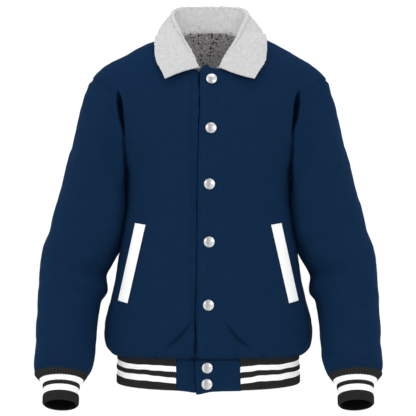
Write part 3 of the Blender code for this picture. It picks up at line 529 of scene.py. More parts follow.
def panel(side, s, down, neckline, first_x, back):
    """A point of a body panel, in the coordinates of +X: s runs from its middle edge to its side.

    down is -1 at the upper edge, 0 at the underarm and LOWER_END at the hem seam.
    """
    rise = np.clip(-down, 0, 1)
    low = np.clip(down, 0, LOWER_END)
    top_x, top_z = top_edge(side, neckline, s, first_x(SHOULDER_Z))
    z = UNDERARM_Z + (top_z - UNDERARM_Z) * rise
    arm_z = UNDERARM_Z + (SHOULDER_Z - UNDERARM_Z) * rise
    arm_x = smooth(ARMHOLE, 2 if back else 1, arm_z)
    bottom_angle = math.pi / 2 * s + angle_at(first_x(z), smooth(LOWER_AT, 3, low)) * (1 - s)
    top_angle = angle_at(top_x, smooth(UPPER, 1, top_z))
    arm_angle = angle_at(arm_x, smooth(UPPER, 1, arm_z))
    side_top = angle_at(SHOULDER_X, smooth(UPPER, 1, SHOULDER_Z))
    blend = rise**RISE_POWER
    upper_angle = bottom_angle + (top_angle - bottom_angle) * blend
    upper_angle = upper_angle + s**ARM_POWER * (arm_angle - math.pi / 2 - (side_top - math.pi / 2) * blend)
    theta = np.where(rise > 0, upper_angle, bottom_angle)
    width = np.where(rise > 0, smooth(UPPER, 1, z), smooth(LOWER_AT, 3, low))
    column = 3 if back else 2
    depth = np.where(rise > 0, smooth(UPPER, column, z), smooth(LOWER_AT, column + 2, low))
    sideways = np.sin(theta) ** 2
    low_z = smooth(LOWER_AT, 1, low) * (1 - sideways) + smooth(LOWER_AT, 2, low) * sideways
    z = np.where(rise > 0, z, low_z)
    x, y = in_plan(theta, width, depth, depth)
    y = np.where(rise > 0, y * top_factor(x, z, side), y)
    return np.stack([x, -y if back else y, z], axis=-1)


def panel_grid(side, s, down, *shape):
    """Points and outward normals of a panel, for columns s and rows down."""
    s, down = np.meshgrid(s, down)
    above = np.where(down <= -1, down, down - SMALL)
    below = np.where(down >= LOWER_END, down, down + SMALL)
    along = panel(side, s, below, *shape) - panel(side, s, above, *shape)
    across = panel(side, s + SMALL, down, *shape) - panel(side, s - SMALL, down, *shape)
    normals = unit(np.cross(along, across))
    return panel(side, s, down, *shape), -normals if shape[-1] else normals


def left_edge(z):
    return -smooth(FRONT_EDGE, 1, z)


def right_edge(z):
    return -UNDERLAP + 0 * z


def middle(z):
    return 0 * z


# A panel's neckline, its edge at or past the middle, and whether it lies behind.
LEFT = (NECK_LEFT, left_edge, False)
RIGHT = (NECK_RIGHT, right_edge, False)
BACK = (NECK_BACK, middle, True)


# ---- folds, gathers and nap
def sunk(points, normals, depth):
    """Points moved in from the surface by a depth of their own."""
    return points - normals * depth[..., None]


def crease(points, normals, side):
    """Points pushed in along the front's creases of one side."""
    for which, x0, z0, x1, z1, width, depth in FRONT_CREASES:
        if which != side:
            continue
        start, run = np.array([x0, z0]), np.array([x1 - x0, z1 - z0])
        from_start = points[..., [0, 2]] - start
        share = np.clip((from_start @ run) / (run @ run), 0, 1)
        off = np.linalg.norm(from_start - share[..., None] * run, axis=-1)
        fade = np.sin(math.pi * (CREASE_ENDS + (1 - 2 * CREASE_ENDS) * share))
        points = sunk(points, normals, depth * fade * np.exp(-((off / width) ** 2)))
    return points


def uneven_wave(count, at, shift, uneven):
    """Waves whose places and heights vary, as cosines of a count times the place."""
    (reach, shift_waves), (share, waves, phase) = shift, uneven
    wave = np.cos(count * at + reach * np.sin(shift_waves * at))
    return wave * (1 + share * np.sin(waves * at + phase))


def gathered(points, normals, s, number, depth, tall, start, shift, uneven):
    """Points of the rows above the hem seam, raised and sunk into gathers beside the front edge."""
    height = points[..., 2] - points[-1, :, 2]
    fade = np.exp(-((height / tall) ** 2)) * ease(*GATHER_EDGE, np.abs(points[..., 0]))
    if start:
        fade = fade * ease(0, start, height)
    return sunk(points, normals, -depth * uneven_wave(2 * math.pi * number, s, shift, uneven) * fade)


def field(points, grain, seed, waves=20):
    """A smooth uneven field over points, about 1 in spread, whose humps are about grain apart."""
    chance = np.random.default_rng(seed)
    directions = unit(chance.normal(size=(waves, 3)))
    lengths = grain * chance.uniform(0.7, 1.7, waves)
    phases = chance.uniform(0, 2 * math.pi, waves)
    total = np.zeros(points.shape[:-1])
    for direction, length, phase in zip(directions, lengths, phases):
        total += np.sin(points @ direction * (2 * math.pi / length) + phase)
    return total * math.sqrt(2 / waves)


def trough(places, line, width):
    """1 along a line through a plane's places, falling off to 0 over its width and towards its ends."""
    line = np.array(line, float)
    runs = np.diff(line, axis=0)
    lengths = np.linalg.norm(runs, axis=1)
    before = np.concatenate([[0], np.cumsum(lengths)[:-1]])
    nearest = np.full(places.shape[:-1], np.inf)
    share = np.zeros(places.shape[:-1])
    for start, run, length, passed in zip(line, runs, lengths, before):
        along = np.clip((places - start) @ run / length**2, 0, 1)
        off = np.linalg.norm(places - start - along[..., None] * run, axis=-1)
        share = np.where(off < nearest, (passed + along * length) / lengths.sum(), share)
        nearest = np.minimum(nearest, off)
    return np.exp(-((nearest / width) ** 2)) * np.sin(math.pi * np.clip(share, 0, 1)) ** TROUGH_ENDS


def napped(points, normals, seed):
    return sunk(points, normals, -NAP_DEPTH * field(points, NAP_GRAIN, seed))


def nudged(points, side):
    """Points near a shoulder's end, in the coordinates of +X, moved with it."""
    out, down = SHOULDER_NUDGE[side]
    off = np.hypot(points[..., 0] - SHOULDER_X, points[..., 2] - SHOULDER_Z) / NUDGE_REACH
    return points + np.exp(-(off**2))[..., None] * np.array([out, 0.0, -down])


def slit(points, wider=0.0):
    """Points on either side of the armhole's seam, sunk into the deep narrow fold along it."""
    place, half, depth = curves(SLIT, points[..., 2])
    off = (points[..., 0] - place) / (half + wider)
    in_front = ease(*SLIT_FRONT, -points[..., 1])
    return sunk(points, FRONTWARD, depth * np.exp(-(off**4)) * in_front)


def edge_groove(points, normals, side):
    """Points of the wearer's right side, sunk into the groove beside the edge that laps over them."""
    if side > 0:
        return points
    x, z = points[..., 0], points[..., 2]
    half, depth = curves(EDGE_GROOVE, z)
    half = half * (1 + sum(share * np.sin(z / height) for share, height in GROOVE_UNEVEN))
    off = (x - smooth(FRONT_EDGE, 1, z) - GROOVE_OFF) / half
    return sunk(points, normals, depth * np.exp(-(off**4)))


def lapped(points, normals, side, gap):
    """Points of the wearer's right side, stepped in by a gap under what laps over them."""
    return points if side > 0 else sunk(points, normals, gap * (1 - ease(*LAP_STEP, points[..., 0])))


# ---- meshes
def add_piece(name, points, faces, numbers, materials, node):
    """A shown piece, in place of a node if one is named; numbers gives each face's material."""
    mesh = bpy.data.meshes.new(name)
    mesh.from_pydata((np.asarray(points) * MM).tolist(), [], [tuple(face) for face in faces])
    for material in materials:
        mesh.materials.append(material)
    mesh.polygons.foreach_set("material_index", np.asarray(numbers, np.int32))
    mesh.shade_smooth()
    piece = bpy.data.objects.new(name, mesh)
    bpy.context.scene.collection.objects.link(piece)
    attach(piece, "root")
    if node:
        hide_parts(node)
    return piece


def shell(name, outer, inner, closed, materials, node, slot, row_material=None):
    """A cloth wall between two grids of points, with rounded cut edges; closed grids go round.

    The first material is the outer face's and the last one the inner face's. row_material numbers the
    material of each outer row of faces, the rounded ones at both ends included.
    """
    rows, columns = outer.shape[:2]
    pad = ((1, 1), (0, 0) if closed else (1, 1), (0, 0))
    rim = np.pad((outer + inner) / 2, pad, mode="edge")
    reach = np.pad(np.linalg.norm(outer - inner, axis=-1, keepdims=True) * RIM, pad, mode="edge")
    for edge, beside in ((0, 2), (-1, -3)):
        rim[edge] += unit(rim[edge] - rim[beside]) * reach[edge]
        if not closed:
            rim[:, edge] += unit(rim[:, edge] - rim[:, beside]) * reach[:, edge]
    on_rim = np.ones(rim.shape[:2], bool)
    on_rim[1:-1, slice(None) if closed else slice(1, -1)] = False
    ids = np.zeros(rim.shape[:2], int)
    ids[on_rim] = np.arange(on_rim.sum()) + 2 * rows * columns
    points = np.concatenate([outer.reshape(-1, 3), inner.reshape(-1, 3), rim[on_rim]])
    quads, numbers = [], []
    inner_material = [len(materials) - 1] * (rows + 1)
    for layer, row_numbers in enumerate((row_material or [0] * (rows + 1), inner_material)):
        ids[~on_rim] = np.arange(rows * columns) + layer * rows * columns
        ring = np.concatenate([ids, ids[:, :1]], axis=1) if closed else ids
        corners = [ring[:-1, :-1], ring[:-1, 1:], ring[1:, 1:], ring[1:, :-1]]
        faces = np.stack(corners[::-1] if layer else corners, axis=-1)
        quads.append(faces.reshape(-1, 4))
        numbers.append(np.repeat(row_numbers, faces.shape[1]))
    quads = np.concatenate(quads)
    outward = outer[rows // 2, columns // 2] - inner[rows // 2, columns // 2]
    middle_face = (rows // 2 + 1) * (columns + (0 if closed else 1)) + columns // 2
    first = points[quads[middle_face]]
    if np.cross(first[2] - first[0], first[3] - first[1]) @ outward < 0:
        quads = quads[:, ::-1]
    add_piece(name, points, quads.tolist(), np.concatenate(numbers), materials, node)


def mirrored(points, side):
    return points * np.array([side, 1.0, 1.0])


def sided(kind, side):
    return f"{kind}_{'left' if side > 0 else 'right'}"


def sided_shell(kind, cloth, side, outer, inner, closed, materials, slot, row_material=None):
    """A shell on one side of the jacket, from points in the coordinates of +X."""
    node = sided(kind, side)
    layers = (mirrored(outer, side), mirrored(inner, side))
    shell(f"{node}_{cloth}", *layers, closed, materials, node, slot, row_material)


def turns_of(count):
    """Angles of a count of places round a ring."""
    return np.arange(count) * 2 * math.pi / count


def tube_faces(rings, sides):
    """Faces round a tube's rings of points, each ring numbered after the one before."""
    first = np.arange((rings - 1) * sides).reshape(-1, sides)
    after = np.roll(first, -1, axis=1)
    return np.stack([first, after, after + sides, first + sides], axis=-1).reshape(-1, 4).tolist()


# ---- materials
WHITE = (1.0, 1.0, 1.0)
MIX_SHARE, MIX_FIRST, MIX_SECOND, MIX_RESULT = 0, 6, 7, 2  # a Mix node's colour sockets
WAVE_TURN = 20.0  # at scale 1 a Wave Texture's bands turn by this many radians over a unit


def shade(colour, factor):
    return tuple(channel * factor for channel in colour)


class Weave:
    """The nodes of one procedural material."""

    def __init__(self, name, roughness, metallic=0.0, sheen=0.0, gloss=0.04):
        self.material = bpy.data.materials.new(name)
        self.material.use_nodes = True
        self.shader = self.material.node_tree.nodes["Principled BSDF"]
        self.fill(self.shader, {"Roughness": roughness, "Metallic": metallic, "Sheen Weight": sheen,
                                "Specular IOR Level": gloss})
        self.place = self.node("TexCoord", {}, "Object")

    def fill(self, node, values):
        """Set a node's inputs to values, or link them to other nodes' outputs."""
        for socket, value in values.items():
            if isinstance(value, bpy.types.NodeSocket):
                self.material.node_tree.links.new(value, node.inputs[socket])
            else:
                node.inputs[socket].default_value = value

    def node(self, kind, values, output, **settings):
        """An output of a new node."""
        node = self.material.node_tree.nodes.new("ShaderNode" + kind)
        for setting, value in settings.items():
            setattr(node, setting, value)
        self.fill(node, values)
        return node.outputs[output]

    def stretched(self, scale, turn=(0, 0, 0)):
        """The place, turned by degrees about each axis and scaled along each."""
        turn = [math.radians(degrees) for degrees in turn]
        return self.node("Mapping", {"Rotation": turn, "Scale": scale, "Vector": self.place}, "Vector")

    def noise(self, scale, detail=2.0, roughness=0.5, place=None):
        values = {"Scale": scale, "Detail": detail, "Roughness": roughness,
                  "Vector": self.place if place is None else place}
        return self.node("TexNoise", values, "Fac")

    def across(self):
        """The share of the piece's own width, from 0 to 1."""
        return self.node("SeparateXYZ", {"Vector": self.node("TexCoord", {}, "Generated")}, "X")

    def bands(self, pitch, direction, place=None):
        """Even waves a pitch apart, in metres."""
        scale = 2 * math.pi / WAVE_TURN / pitch
        values = {"Scale": scale, "Vector": self.place if place is None else place}
        return self.node("TexWave", values, "Fac", bands_direction=direction)

    def tone(self, value, colour, *stops):
        """A colour times a factor that runs through stops of (value, factor)."""
        out = self.node("ValToRGB", {"Fac": value}, "Color")
        elements = out.node.color_ramp.elements
        while len(elements) < len(stops):
            elements.new(0.5)
        for element, (position, factor) in zip(elements, stops):
            element.position = position
            element.color = (*shade(colour, factor), 1)
        return out

    def mix(self, share, first, second, kind="MIX"):
        values = {MIX_SHARE: share, MIX_FIRST: first, MIX_SECOND: second}
        return self.node("Mix", values, MIX_RESULT, data_type="RGBA", blend_type=kind)

    def times(self, first, second):
        return self.mix(1.0, first, second, "MULTIPLY")

    def made(self, colour, *bumps):
        """The material of a colour, with bumps of (height, depth in metres, strength), the coarsest first."""
        normal = {}
        for height, depth, strength in bumps:
            values = {"Distance": depth, "Strength": strength, "Height": height, **normal}
            normal = {"Normal": self.node("Bump", values, "Normal")}
        self.fill(self.shader, {"Base Color": colour, **normal})
        return self.material


def wool(name, colour):
    """Napped melton wool: short fibres over a soft mottle."""
    cloth = Weave(name, 0.92, sheen=WOOL_SHEEN, gloss=0.02)
    cloth.fill(cloth.shader, {"Sheen Tint": (*shade(colour, WOOL_TINT), 1)})
    fibres = cloth.noise(1.0, 3.0, 0.6, cloth.stretched((900, 900, 380), (20, 0, 35)))
    mottle = cloth.noise(34.0, 3.0, 0.6)
    grain = cloth.tone(fibres, colour, (0.30, 0.80), (0.70, 1.18))
    soft = cloth.tone(mottle, WHITE, (0.30, 0.93), (0.70, 1.0))
    return cloth.made(cloth.times(grain, soft), (mottle, 0.0012, 0.35), (fibres, 0.0003, 0.5))


def knit(name, colour, depth):
    """Rib knit: rows of loops across fine yarn."""
    cloth = Weave(name, 0.88)
    loops = cloth.bands(0.0014, "Z")
    yarn = cloth.noise(1500.0)
    tone = cloth.tone(yarn, colour, (0.25, 1 - depth), (0.75, 1 + depth))
    rows = cloth.tone(loops, WHITE, (0.0, 1 - depth), (0.6, 1.0))
    return cloth.made(cloth.times(tone, rows), (loops, 0.0004, 0.5), (yarn, 0.0002, 0.4))


def fleece(name, colour, depth):
    """Short cropped fleece: small soft tufts with shade between them."""
    cloth = Weave(name, 0.95)
    pile = cloth.noise(260.0, 4.0, 0.65)
    fibres = cloth.noise(1400.0)
    tone = cloth.tone(pile, colour, (0.32, 1 - depth), (0.62, 1 + depth / 3))
    fine = cloth.tone(fibres, WHITE, (0.2, 1 - depth / 2), (0.8, 1.0))
    return cloth.made(cloth.times(tone, fine), (pile, 0.0014, 0.6), (fibres, 0.0004, 0.4))


def flecked_fleece(name, colour, fleck):
    """Grey fleece with dark flecks."""
    cloth = Weave(name, 0.95)
    pile = cloth.noise(240.0, 4.0, 0.65)
    flecks = cloth.noise(210.0, 5.0, 0.75)
    tone = cloth.tone(pile, colour, (0.32, 0.70), (0.66, 1.2))
    dark = cloth.tone(pile, fleck, (0.2, 0.6), (0.8, 1.0))
    clusters = cloth.tone(cloth.noise(26.0), WHITE, (0.34, 0.35), (0.52, 1.0))
    spots = cloth.times(cloth.tone(flecks, WHITE, (0.42, 1.0), (0.50, 0.0)), clusters)
    return cloth.made(cloth.mix(spots, tone, dark), (pile, 0.0014, 0.6), (flecks, 0.0008, 0.4))


def smooth_trim(name, colour):
    """Smooth coated cloth with a fine grain."""
    cloth = Weave(name, 0.6, gloss=0.2)
    grain = cloth.noise(1100.0, 3.0)
    return cloth.made(cloth.tone(grain, colour, (0.3, 0.95), (0.7, 1.0)), (grain, 0.0002, 0.35))


def pearly_metal(name, colour):
    """Brushed metal with soft bands of painted reflection."""
    cap = Weave(name, 0.24, metallic=1.0, gloss=0.5)
    brushed = cap.noise(1.0, place=cap.stretched((600, 600, 3000)))
    grain = cap.tone(brushed, colour, (0.3, 0.96), (0.7, 1.0))
    # Painted reflection: bands of brightness fixed across the cap's own width, darker left of the middle and
    # lighter towards the sides.
    bands = cap.tone(cap.across(), WHITE, *PAINTED_REFLECTION_BANDS)
    return cap.made(cap.times(grain, bands), (brushed, 0.00005, 0.2))


def satin(name, colour):
    """Plain twill lining."""
    cloth = Weave(name, 0.55, gloss=0.2)
    twill = cloth.bands(0.0009, "X", cloth.stretched((1, 1, 1), (0, 45, 0)))
    tone = cloth.tone(cloth.noise(1300.0), colour, (0.3, 0.85), (0.7, 1.1))
    rows = cloth.tone(twill, WHITE, (0.0, 0.88), (0.7, 1.0))
    return cloth.made(cloth.times(tone, rows), (twill, 0.0001, 0.3))


# ---- body panels
def places_between(stretches):
    """Places along several stretches of (start, end, count), each evenly spaced."""
    parts = [np.linspace(start, end, count + 1)[:-1] for start, end, count in stretches]
    return np.concatenate([*parts, [stretches[-1][1]]])


BODY_DOWN = places_between(BODY_ROWS)


def front_grid(side, s, down):
    """Points and normals of a front, in the coordinates of +X."""
    points, normals = panel_grid(side, s, down, *(LEFT if side > 0 else RIGHT))
    points = gathered(points, normals, s, *BROAD_GATHERS)
    points = crease(points, normals, side)
    places = points[..., [0, 2]]
    for which, x0, z0, x1, z1, x2, z2, width, depth in FRONT_TROUGHS:
        if which == side:
            points = sunk(points, normals, depth * trough(places, ((x0, z0), (x1, z1), (x2, z2)), width))
    points = gathered(points, normals, s, *FINE_GATHERS)
    return lapped(points, normals, side, CLOTH + LAP_GAP), normals


def front(side, cloth, inside):
    points, normals = front_grid(side, places_between(FRONT_COLUMNS), BODY_DOWN)
    points = nudged(edge_groove(points, normals, side), side)
    outer = slit(napped(points, normals, SEEDS["front"] + side))
    inner = slit(points - normals * CLOTH, SLIT_WALL)
    for layer in (outer, inner):
        layer[..., 1] = np.minimum(layer[..., 1], -SEAM_GAP / 2)
    sided_shell("front", "cloth", side, outer, inner, False, (cloth, inside), "wool")


def back_grid(s, down):
    """Points and normals of the whole back, for columns s from -1 at one side to 1 at the other."""
    right, left = (panel_grid(side, np.abs(s), down, *BACK) for side in (-1, 1))
    points = np.where(s[:, None] < 0, nudged(right[0], -1), nudged(left[0], 1))
    normals = np.where(s[:, None] < 0, right[1], left[1])
    for gathers in (BROAD_GATHERS, FINE_GATHERS):
        points = gathered(points, normals, np.abs(s), *gathers)
    sign = np.where(s < 0, -1.0, 1.0)[:, None] * np.array([1.0, 0, 0]) + np.array([0, 1.0, 1.0])
    return points * sign, normals * sign


def back(cloth, inside):
    points, normals = back_grid(np.linspace(-1, 1, BACK_COLUMNS), BODY_DOWN)
    outer, inner = napped(points, normals, SEEDS["back"]), points - normals * CLOTH
    for layer in (outer, inner):
        layer[..., 1] = np.maximum(layer[..., 1], SEAM_GAP / 2)
    shell("back_cloth", outer, inner, False, (cloth, inside), "back", "wool")


def lining_back(cloth):
    """The lining inside the back, seen through the neck."""
    s = np.linspace(-LINING_SHARE, LINING_SHARE, LINING_COLUMNS)
    points, normals = back_grid(s, np.linspace(-1, LINING_END, LINING_ROWS))
    points[0, :, 2] += smooth(LINING_LIFT, 1, np.abs(points[0, :, 0]))
    outer = points - normals * (CLOTH + LINING_GAP)
    inner = outer - normals * LINING
    pile = np.abs(field(inner, FLEECE_GRAIN, SEEDS["lining"]))
    inner = sunk(inner, normals, FLEECE_DEPTH * pile)
    shell("lining_back_fleece", outer, inner, False, (cloth, cloth), "lining_back", "lining_fleece")


# ---- sleeves
SLEEVE_AT = stations(SLEEVE)


def armhole_ring(side, angles):
    """Points and normals of the armhole's edge, from the shoulder over the front and round."""
    down = -(1 + np.cos(angles)) / 2
    ahead, behind = (panel_grid(side, np.ones(1), down, *shape) for shape in (LEFT, BACK))
    return [np.where(angles[:, None] > math.pi, b[:, 0], a[:, 0]) for a, b in zip(ahead, behind)]


def sleeve_rings(row, angles):
    """Rings of the sleeve on +X at places down its table, before the armhole's outline is blended in."""
    row = np.asarray(row, float)
    outer_x, outer_z, inner_x, inner_z, mid_y, depth = curves(SLEEVE_AT, row)
    middle_line = np.stack([(outer_x + inner_x) / 2, mid_y, (outer_z + inner_z) / 2], -1)
    outward = np.stack([(outer_x - inner_x) / 2, 0 * row, (outer_z - inner_z) / 2], -1)
    ahead, fall = (smooth(SLEEVE_AT, c, row - SMALL) - smooth(SLEEVE_AT, c, row + SMALL) for c in (5, 4))
    lean = np.arctan2(ahead, fall)
    frontward = np.stack([0 * row, -np.cos(lean), np.sin(lean)], -1) * depth[:, None]
    cos, sin = np.cos(angles), np.sin(angles)
    start, end = SQUARE_ROWS
    exponent = 2 + SLEEVE_SQUARE * (ease(*start, row) * (1 - ease(*end, row)))[:, None] * (cos < 0)
    cos, sin = (power(turn, 2 / exponent)[..., None] for turn in (cos, sin))
    return middle_line[:, None] + outward[:, None] * cos + frontward[:, None] * sin


def body_side(y, z):
    """How far out the body's side reaches below the underarm, at a depth and height."""
    row = np.interp(-z, [-low[1] for low in LOWER], range(len(LOWER)))
    width = smooth(LOWER_AT, 3, row)
    depth = np.where(y < 0, smooth(LOWER_AT, 4, row), smooth(LOWER_AT, 5, row))
    return width * (1 - np.clip(np.abs(y) / depth, 0, 1) ** ROUNDNESS) ** (1 / ROUNDNESS)


def sleeve_grid(side, rows, columns):
    """Points and normals of a sleeve, in the coordinates of +X."""
    angles = turns_of(columns)
    degrees = np.degrees(angles)
    points = sleeve_rings(rows, angles)
    rim, rim_normals = armhole_ring(side, angles)
    away = unit(np.cross(rim_normals, np.roll(rim, -1, 0) - np.roll(rim, 1, 0)))
    step, step_degrees, step_rows = SHOULDER_STEP
    step = step * (1 - ease(*STEP_ENDS, np.minimum(degrees, 360 - degrees) / step_degrees))
    edge = sunk(rim + away * SEAM_TUCK, rim_normals, SEAM_SINK + step)
    rim = rim + away * SLEEVE_SEAM_GAP
    rim[:, 0] += UNDERARM_GAP * (1 - np.cos(angles)) / 2
    weight = 1 - ease(0, ARMHOLE_BLEND_ROWS, rows)
    points = points + weight[:, None, None] * (rim - sleeve_rings([0.0], angles)[0])
    points = sunk(points, rim_normals, step * (1 - ease(0, step_rows, rows))[:, None])
    normals = grid_normals(points, True)
    for at_row, at_angle, wide_rows, wide_degrees, depth in SLEEVE_FOLDS:
        apart = np.abs((degrees - at_angle + 180) % 360 - 180)
        over = np.exp(-((apart / wide_degrees) ** 2))
        along = np.exp(-(((rows - at_row) / wide_rows) ** 2)) * ease(*FOLD_START, rows)
        points = sunk(points, normals, -depth * along[:, None] * over)
    points = sunk(points, normals, sleeve_creases(points, rows, angles))
    least = body_side(points[..., 1], points[..., 2]) + SLEEVE_CLEARANCE
    beside = (points[..., 2] < UNDERARM_Z - HANG_DROP) & (rows[:, None] > 0)
    points[..., 0] = np.where(beside, np.maximum(points[..., 0], least), points[..., 0])
    normals = grid_normals(points, True)
    share = np.clip(1 + np.cos(angles), 0, 1)[:, None]
    normals[0] = unit(rim_normals * share + normals[0] * (1 - share))
    return np.concatenate([edge[None], points]), np.concatenate([normals[:1], normals])


def sleeve_creases(points, rows, angles):
    """How far the fine creases and the end's gathers sink a sleeve's points."""
    middle_row = points[len(points) // 2]
    around = np.linalg.norm(middle_row - np.roll(middle_row, 1, 0), axis=-1).sum() / 360
    down = np.linalg.norm(np.diff(points.mean(axis=1), axis=0), axis=-1).sum() / (len(SLEEVE) - 1)
    place = np.stack(np.meshgrid(np.degrees(angles) * around, rows * down), axis=-1)
    turn = np.array([360 * around, 0])
    depths = np.zeros(points.shape[:2])
    for row0, angle0, row1, angle1, width, depth in SLEEVE_TROUGHS:
        line = ((angle0 * around, row0 * down), (angle1 * around, row1 * down))
        depths += depth * sum(trough(place + turn * lap, line, width) for lap in (-1, 0, 1))
    number, depth, tall, start, shift, uneven = CUFF_GATHERS
    last = (len(SLEEVE) - 1 - rows) / tall
    fade = np.exp(-(last**2)) * ease(0, start, last)
    return depths - depth * uneven_wave(number, angles, shift, uneven) * fade[:, None]


def sleeve(side, cloth, inside):
    points, normals = sleeve_grid(side, places_between(SLEEVE_ROWS), SLEEVE_COLUMNS)
    points = nudged(points, side)
    outer = slit(napped(points, normals, SEEDS["sleeve"] + side))
    inner = slit(points - normals * CLOTH, SLIT_WALL)
    sided_shell("sleeve", "cloth", side, outer, inner, True, (cloth, inside), "wool")


# ---- ribs
def cuff_grid(rows, angles):
    """Rings of the cuff on +X at places down its table."""
    x, y, z, wide, deep, lean = (curve[:, None] for curve in curves(stations(CUFF), rows))
    lean = np.radians(lean)
    ahead = deep * np.sin(angles)
    return np.stack([x + wide * np.cos(angles), y - ahead * np.cos(lean), z + ahead * np.sin(lean)], -1)


def stripe_rows(edges, last, count):
    """Places of a rib's rows with its stripes' edges among them, and each row of faces' material."""
    edges = (0.0, *edges, last)
    rows, numbers = [], []
    for i, (low, high) in enumerate(zip(edges, edges[1:])):
        steps = max(2, round(count * (high - low) / last))
        rows.extend(np.linspace(low, high, steps + 1)[:-1])
        numbers.extend([i % 2] * steps)
    return np.array(rows + [last]), numbers


def rib_wave(turns):
    """1 on a rib's middle and 0 in the groove between two, rounder on top than below."""
    return (0.5 + 0.5 * np.cos(turns)) ** RIB_ROUND


def rib_height(numbers, wave):
    """How far the ribs stand out, by the material of each row of faces and the wave across the ribs."""
    by_face = np.array([RIB_RAISE[number] for number in numbers])
    by_row = np.concatenate([by_face[:1], (by_face[1:] + by_face[:-1]) / 2, by_face[-1:]])
    return by_row[:, None] * wave


def tucked(numbers, outer, inner, tuck):
    """A rib's layers and row materials, with a first row tucked up by a step under the cloth above."""
    layers = [np.concatenate([layer[:1] + tuck, layer]) for layer in (outer, inner)]
    return layers, [0, 0, *numbers, numbers[-1]]


def cuff(side, knits):
    """A ribbed cuff with two stripes, whose first row is tucked up into the sleeve's end."""
    angles = turns_of(RIB_COLUMNS * CUFF_RIBS)
    rows, numbers = stripe_rows(CUFF_STRIPES, len(CUFF) - 1.0, RIB_ROWS)
    plain = cuff_grid(rows, angles)
    normals = grid_normals(plain, True)
    along = unit(np.gradient(plain, axis=0))
    wave = rib_wave(angles * CUFF_RIBS)
    edge_wave = STRIPE_WAVE * (wave - 0.5) * np.sin(math.pi * rows / rows[-1])[:, None]
    outer = plain + normals * rib_height(numbers, wave)[..., None] + along * edge_wave[..., None]
    doubled = CUFF_DOUBLED * ease(*CUFF_DOUBLED_ROWS, rows)
    inner = plain - normals * (RIB_CLOTH + doubled)[:, None, None]
    layers, numbers = tucked(numbers, outer, inner, -along[:1] * CUFF_TUCK - normals[:1] * CUFF_TUCK_IN)
    # The last of the knits covers the inner face; for the cuffs it is a near-black knit of painted shade.
    sided_shell("cuff", "knit", side, *layers, True, knits, "rib_knit", numbers)


def hem_ring(theta, row):
    """Points of the hem band's surface at angles from the front's middle; +X first."""
    z, width, front, behind = curves(stations(HEM), row)
    x, y = in_plan(theta, width, front, behind)
    drop = (HEM_SIDE_DROP * (1 - row) - HEM_SIDE_RISE * row) * np.sin(theta) ** 2
    return np.stack([x, y, z - drop], -1)


def hem_rib(knits):
    """The ribbed hem band, from the left tab's seam round the back to the right tab's."""
    half = angle_at(TAB_HALF + SEAM_GAP, HEM[0][1])
    fine = np.linspace(half, 2 * math.pi - half, LENGTH_STEPS)
    length = run_length(hem_ring(fine, 0.5))
    ribs = round(length[-1] / RIB_PITCH)
    share = np.linspace(0, 1, RIB_COLUMNS * ribs + 1)
    theta = np.interp(share * length[-1], length, fine)
    nominal = HEM_STRIPES[1][1:]
    rows, numbers = stripe_rows(nominal, 1.0, RIB_ROWS)
    beside = np.abs(hem_ring(theta, 0.5)[:, 0])
    edges = np.stack([0 * beside, *curves(HEM_STRIPES, beside), 0 * beside + 1], -1)
    places = np.array([np.interp(rows, (0.0, *nominal, 1.0), own) for own in edges]).T
    plain = np.array([hem_ring(theta, place) for place in places])
    normals = -grid_normals(plain, False)
    wave = rib_wave(share * ribs * 2 * math.pi + math.pi)
    swell = np.sin(math.pi * rows)[:, None]
    outer = plain + normals * (rib_height(numbers, wave) + HEM_BELLY * swell)[..., None]
    sway = sum(depth * np.sin(plain[..., 0] / length + length) for depth, length in STRIPE_SWAY)
    outer[..., 2] += (STRIPE_WAVE * (wave - 0.5) + sway) * swell
    inner = sunk(plain, normals, RIB_CLOTH - HEM_BELLY * swell)
    layers, numbers = tucked(numbers, outer, inner, UPWARD * HEM_TUCK)
    shell("hem_rib_knit", *layers, False, knits, "hem_rib", "rib_knit", numbers)


def tab_grid(side, columns, rows):
    """Points and normals of a hem tab, in the coordinates of +X."""
    at, sag, width = TAB_SAG[side]
    edge = left_edge if side > 0 else right_edge
    points = []
    for row in rows:
        first = angle_at(edge(smooth(stations(HEM), 1, row)), HEM[0][1])
        ring = hem_ring(np.linspace(first, angle_at(TAB_HALF, HEM[0][1]), columns), row)
        drop = TAB_DROP[side] + sag * np.exp(-(((ring[:, 0] - at) / width) ** 2))
        ring[:, 2] -= drop * ease(0, len(HEM) - 1, row)
        points.append(ring)
    points = np.array(points)
    normals = -grid_normals(points, False)
    return lapped(points, normals, side, TAB_CLOTH + TAB_LAP_GAP), normals


def hem_tab(side, cloth):
    points, normals = tab_grid(side, TAB_COLUMNS, np.linspace(0, len(HEM) - 1, TAB_ROWS))
    points = edge_groove(points, normals, side)
    depth, width, uneven, length = TAB_SEAM
    off = (HEM[0][0] - points[..., 2]) / width
    dips = depth * (1 + uneven * np.sin(points[..., 0] / length)) * np.exp(-(off**2))
    if side > 0:
        dips = dips + TAB_CREASE_DEPTH * trough(points[..., [0, 2]], TAB_CREASE, TAB_CREASE_WIDTH)
    outer = sunk(napped(points, normals, SEEDS["tab"] + side), normals, dips)
    sided_shell("hem_tab", "cloth", side, outer, points - normals * TAB_CLOTH, False, (cloth, cloth), "wool")


# ---- collar
def neckline_point(share):
    """A point of the neckline on +X, from the back's middle (0) over the shoulder to the front end (1)."""
    if share < SHOULDER_SHARE:
        return panel(1, NECK_SHARE * share / SHOULDER_SHARE, -1.0, *BACK)
    first = left_edge(SHOULDER_Z)
    end = NECK_SHARE * (COLLAR_END_X - first) / (NECK_X - first)
    s = NECK_SHARE + (end - NECK_SHARE) * (share - SHOULDER_SHARE) / (1 - SHOULDER_SHARE)
    return panel(1, s, -1.0, *LEFT)


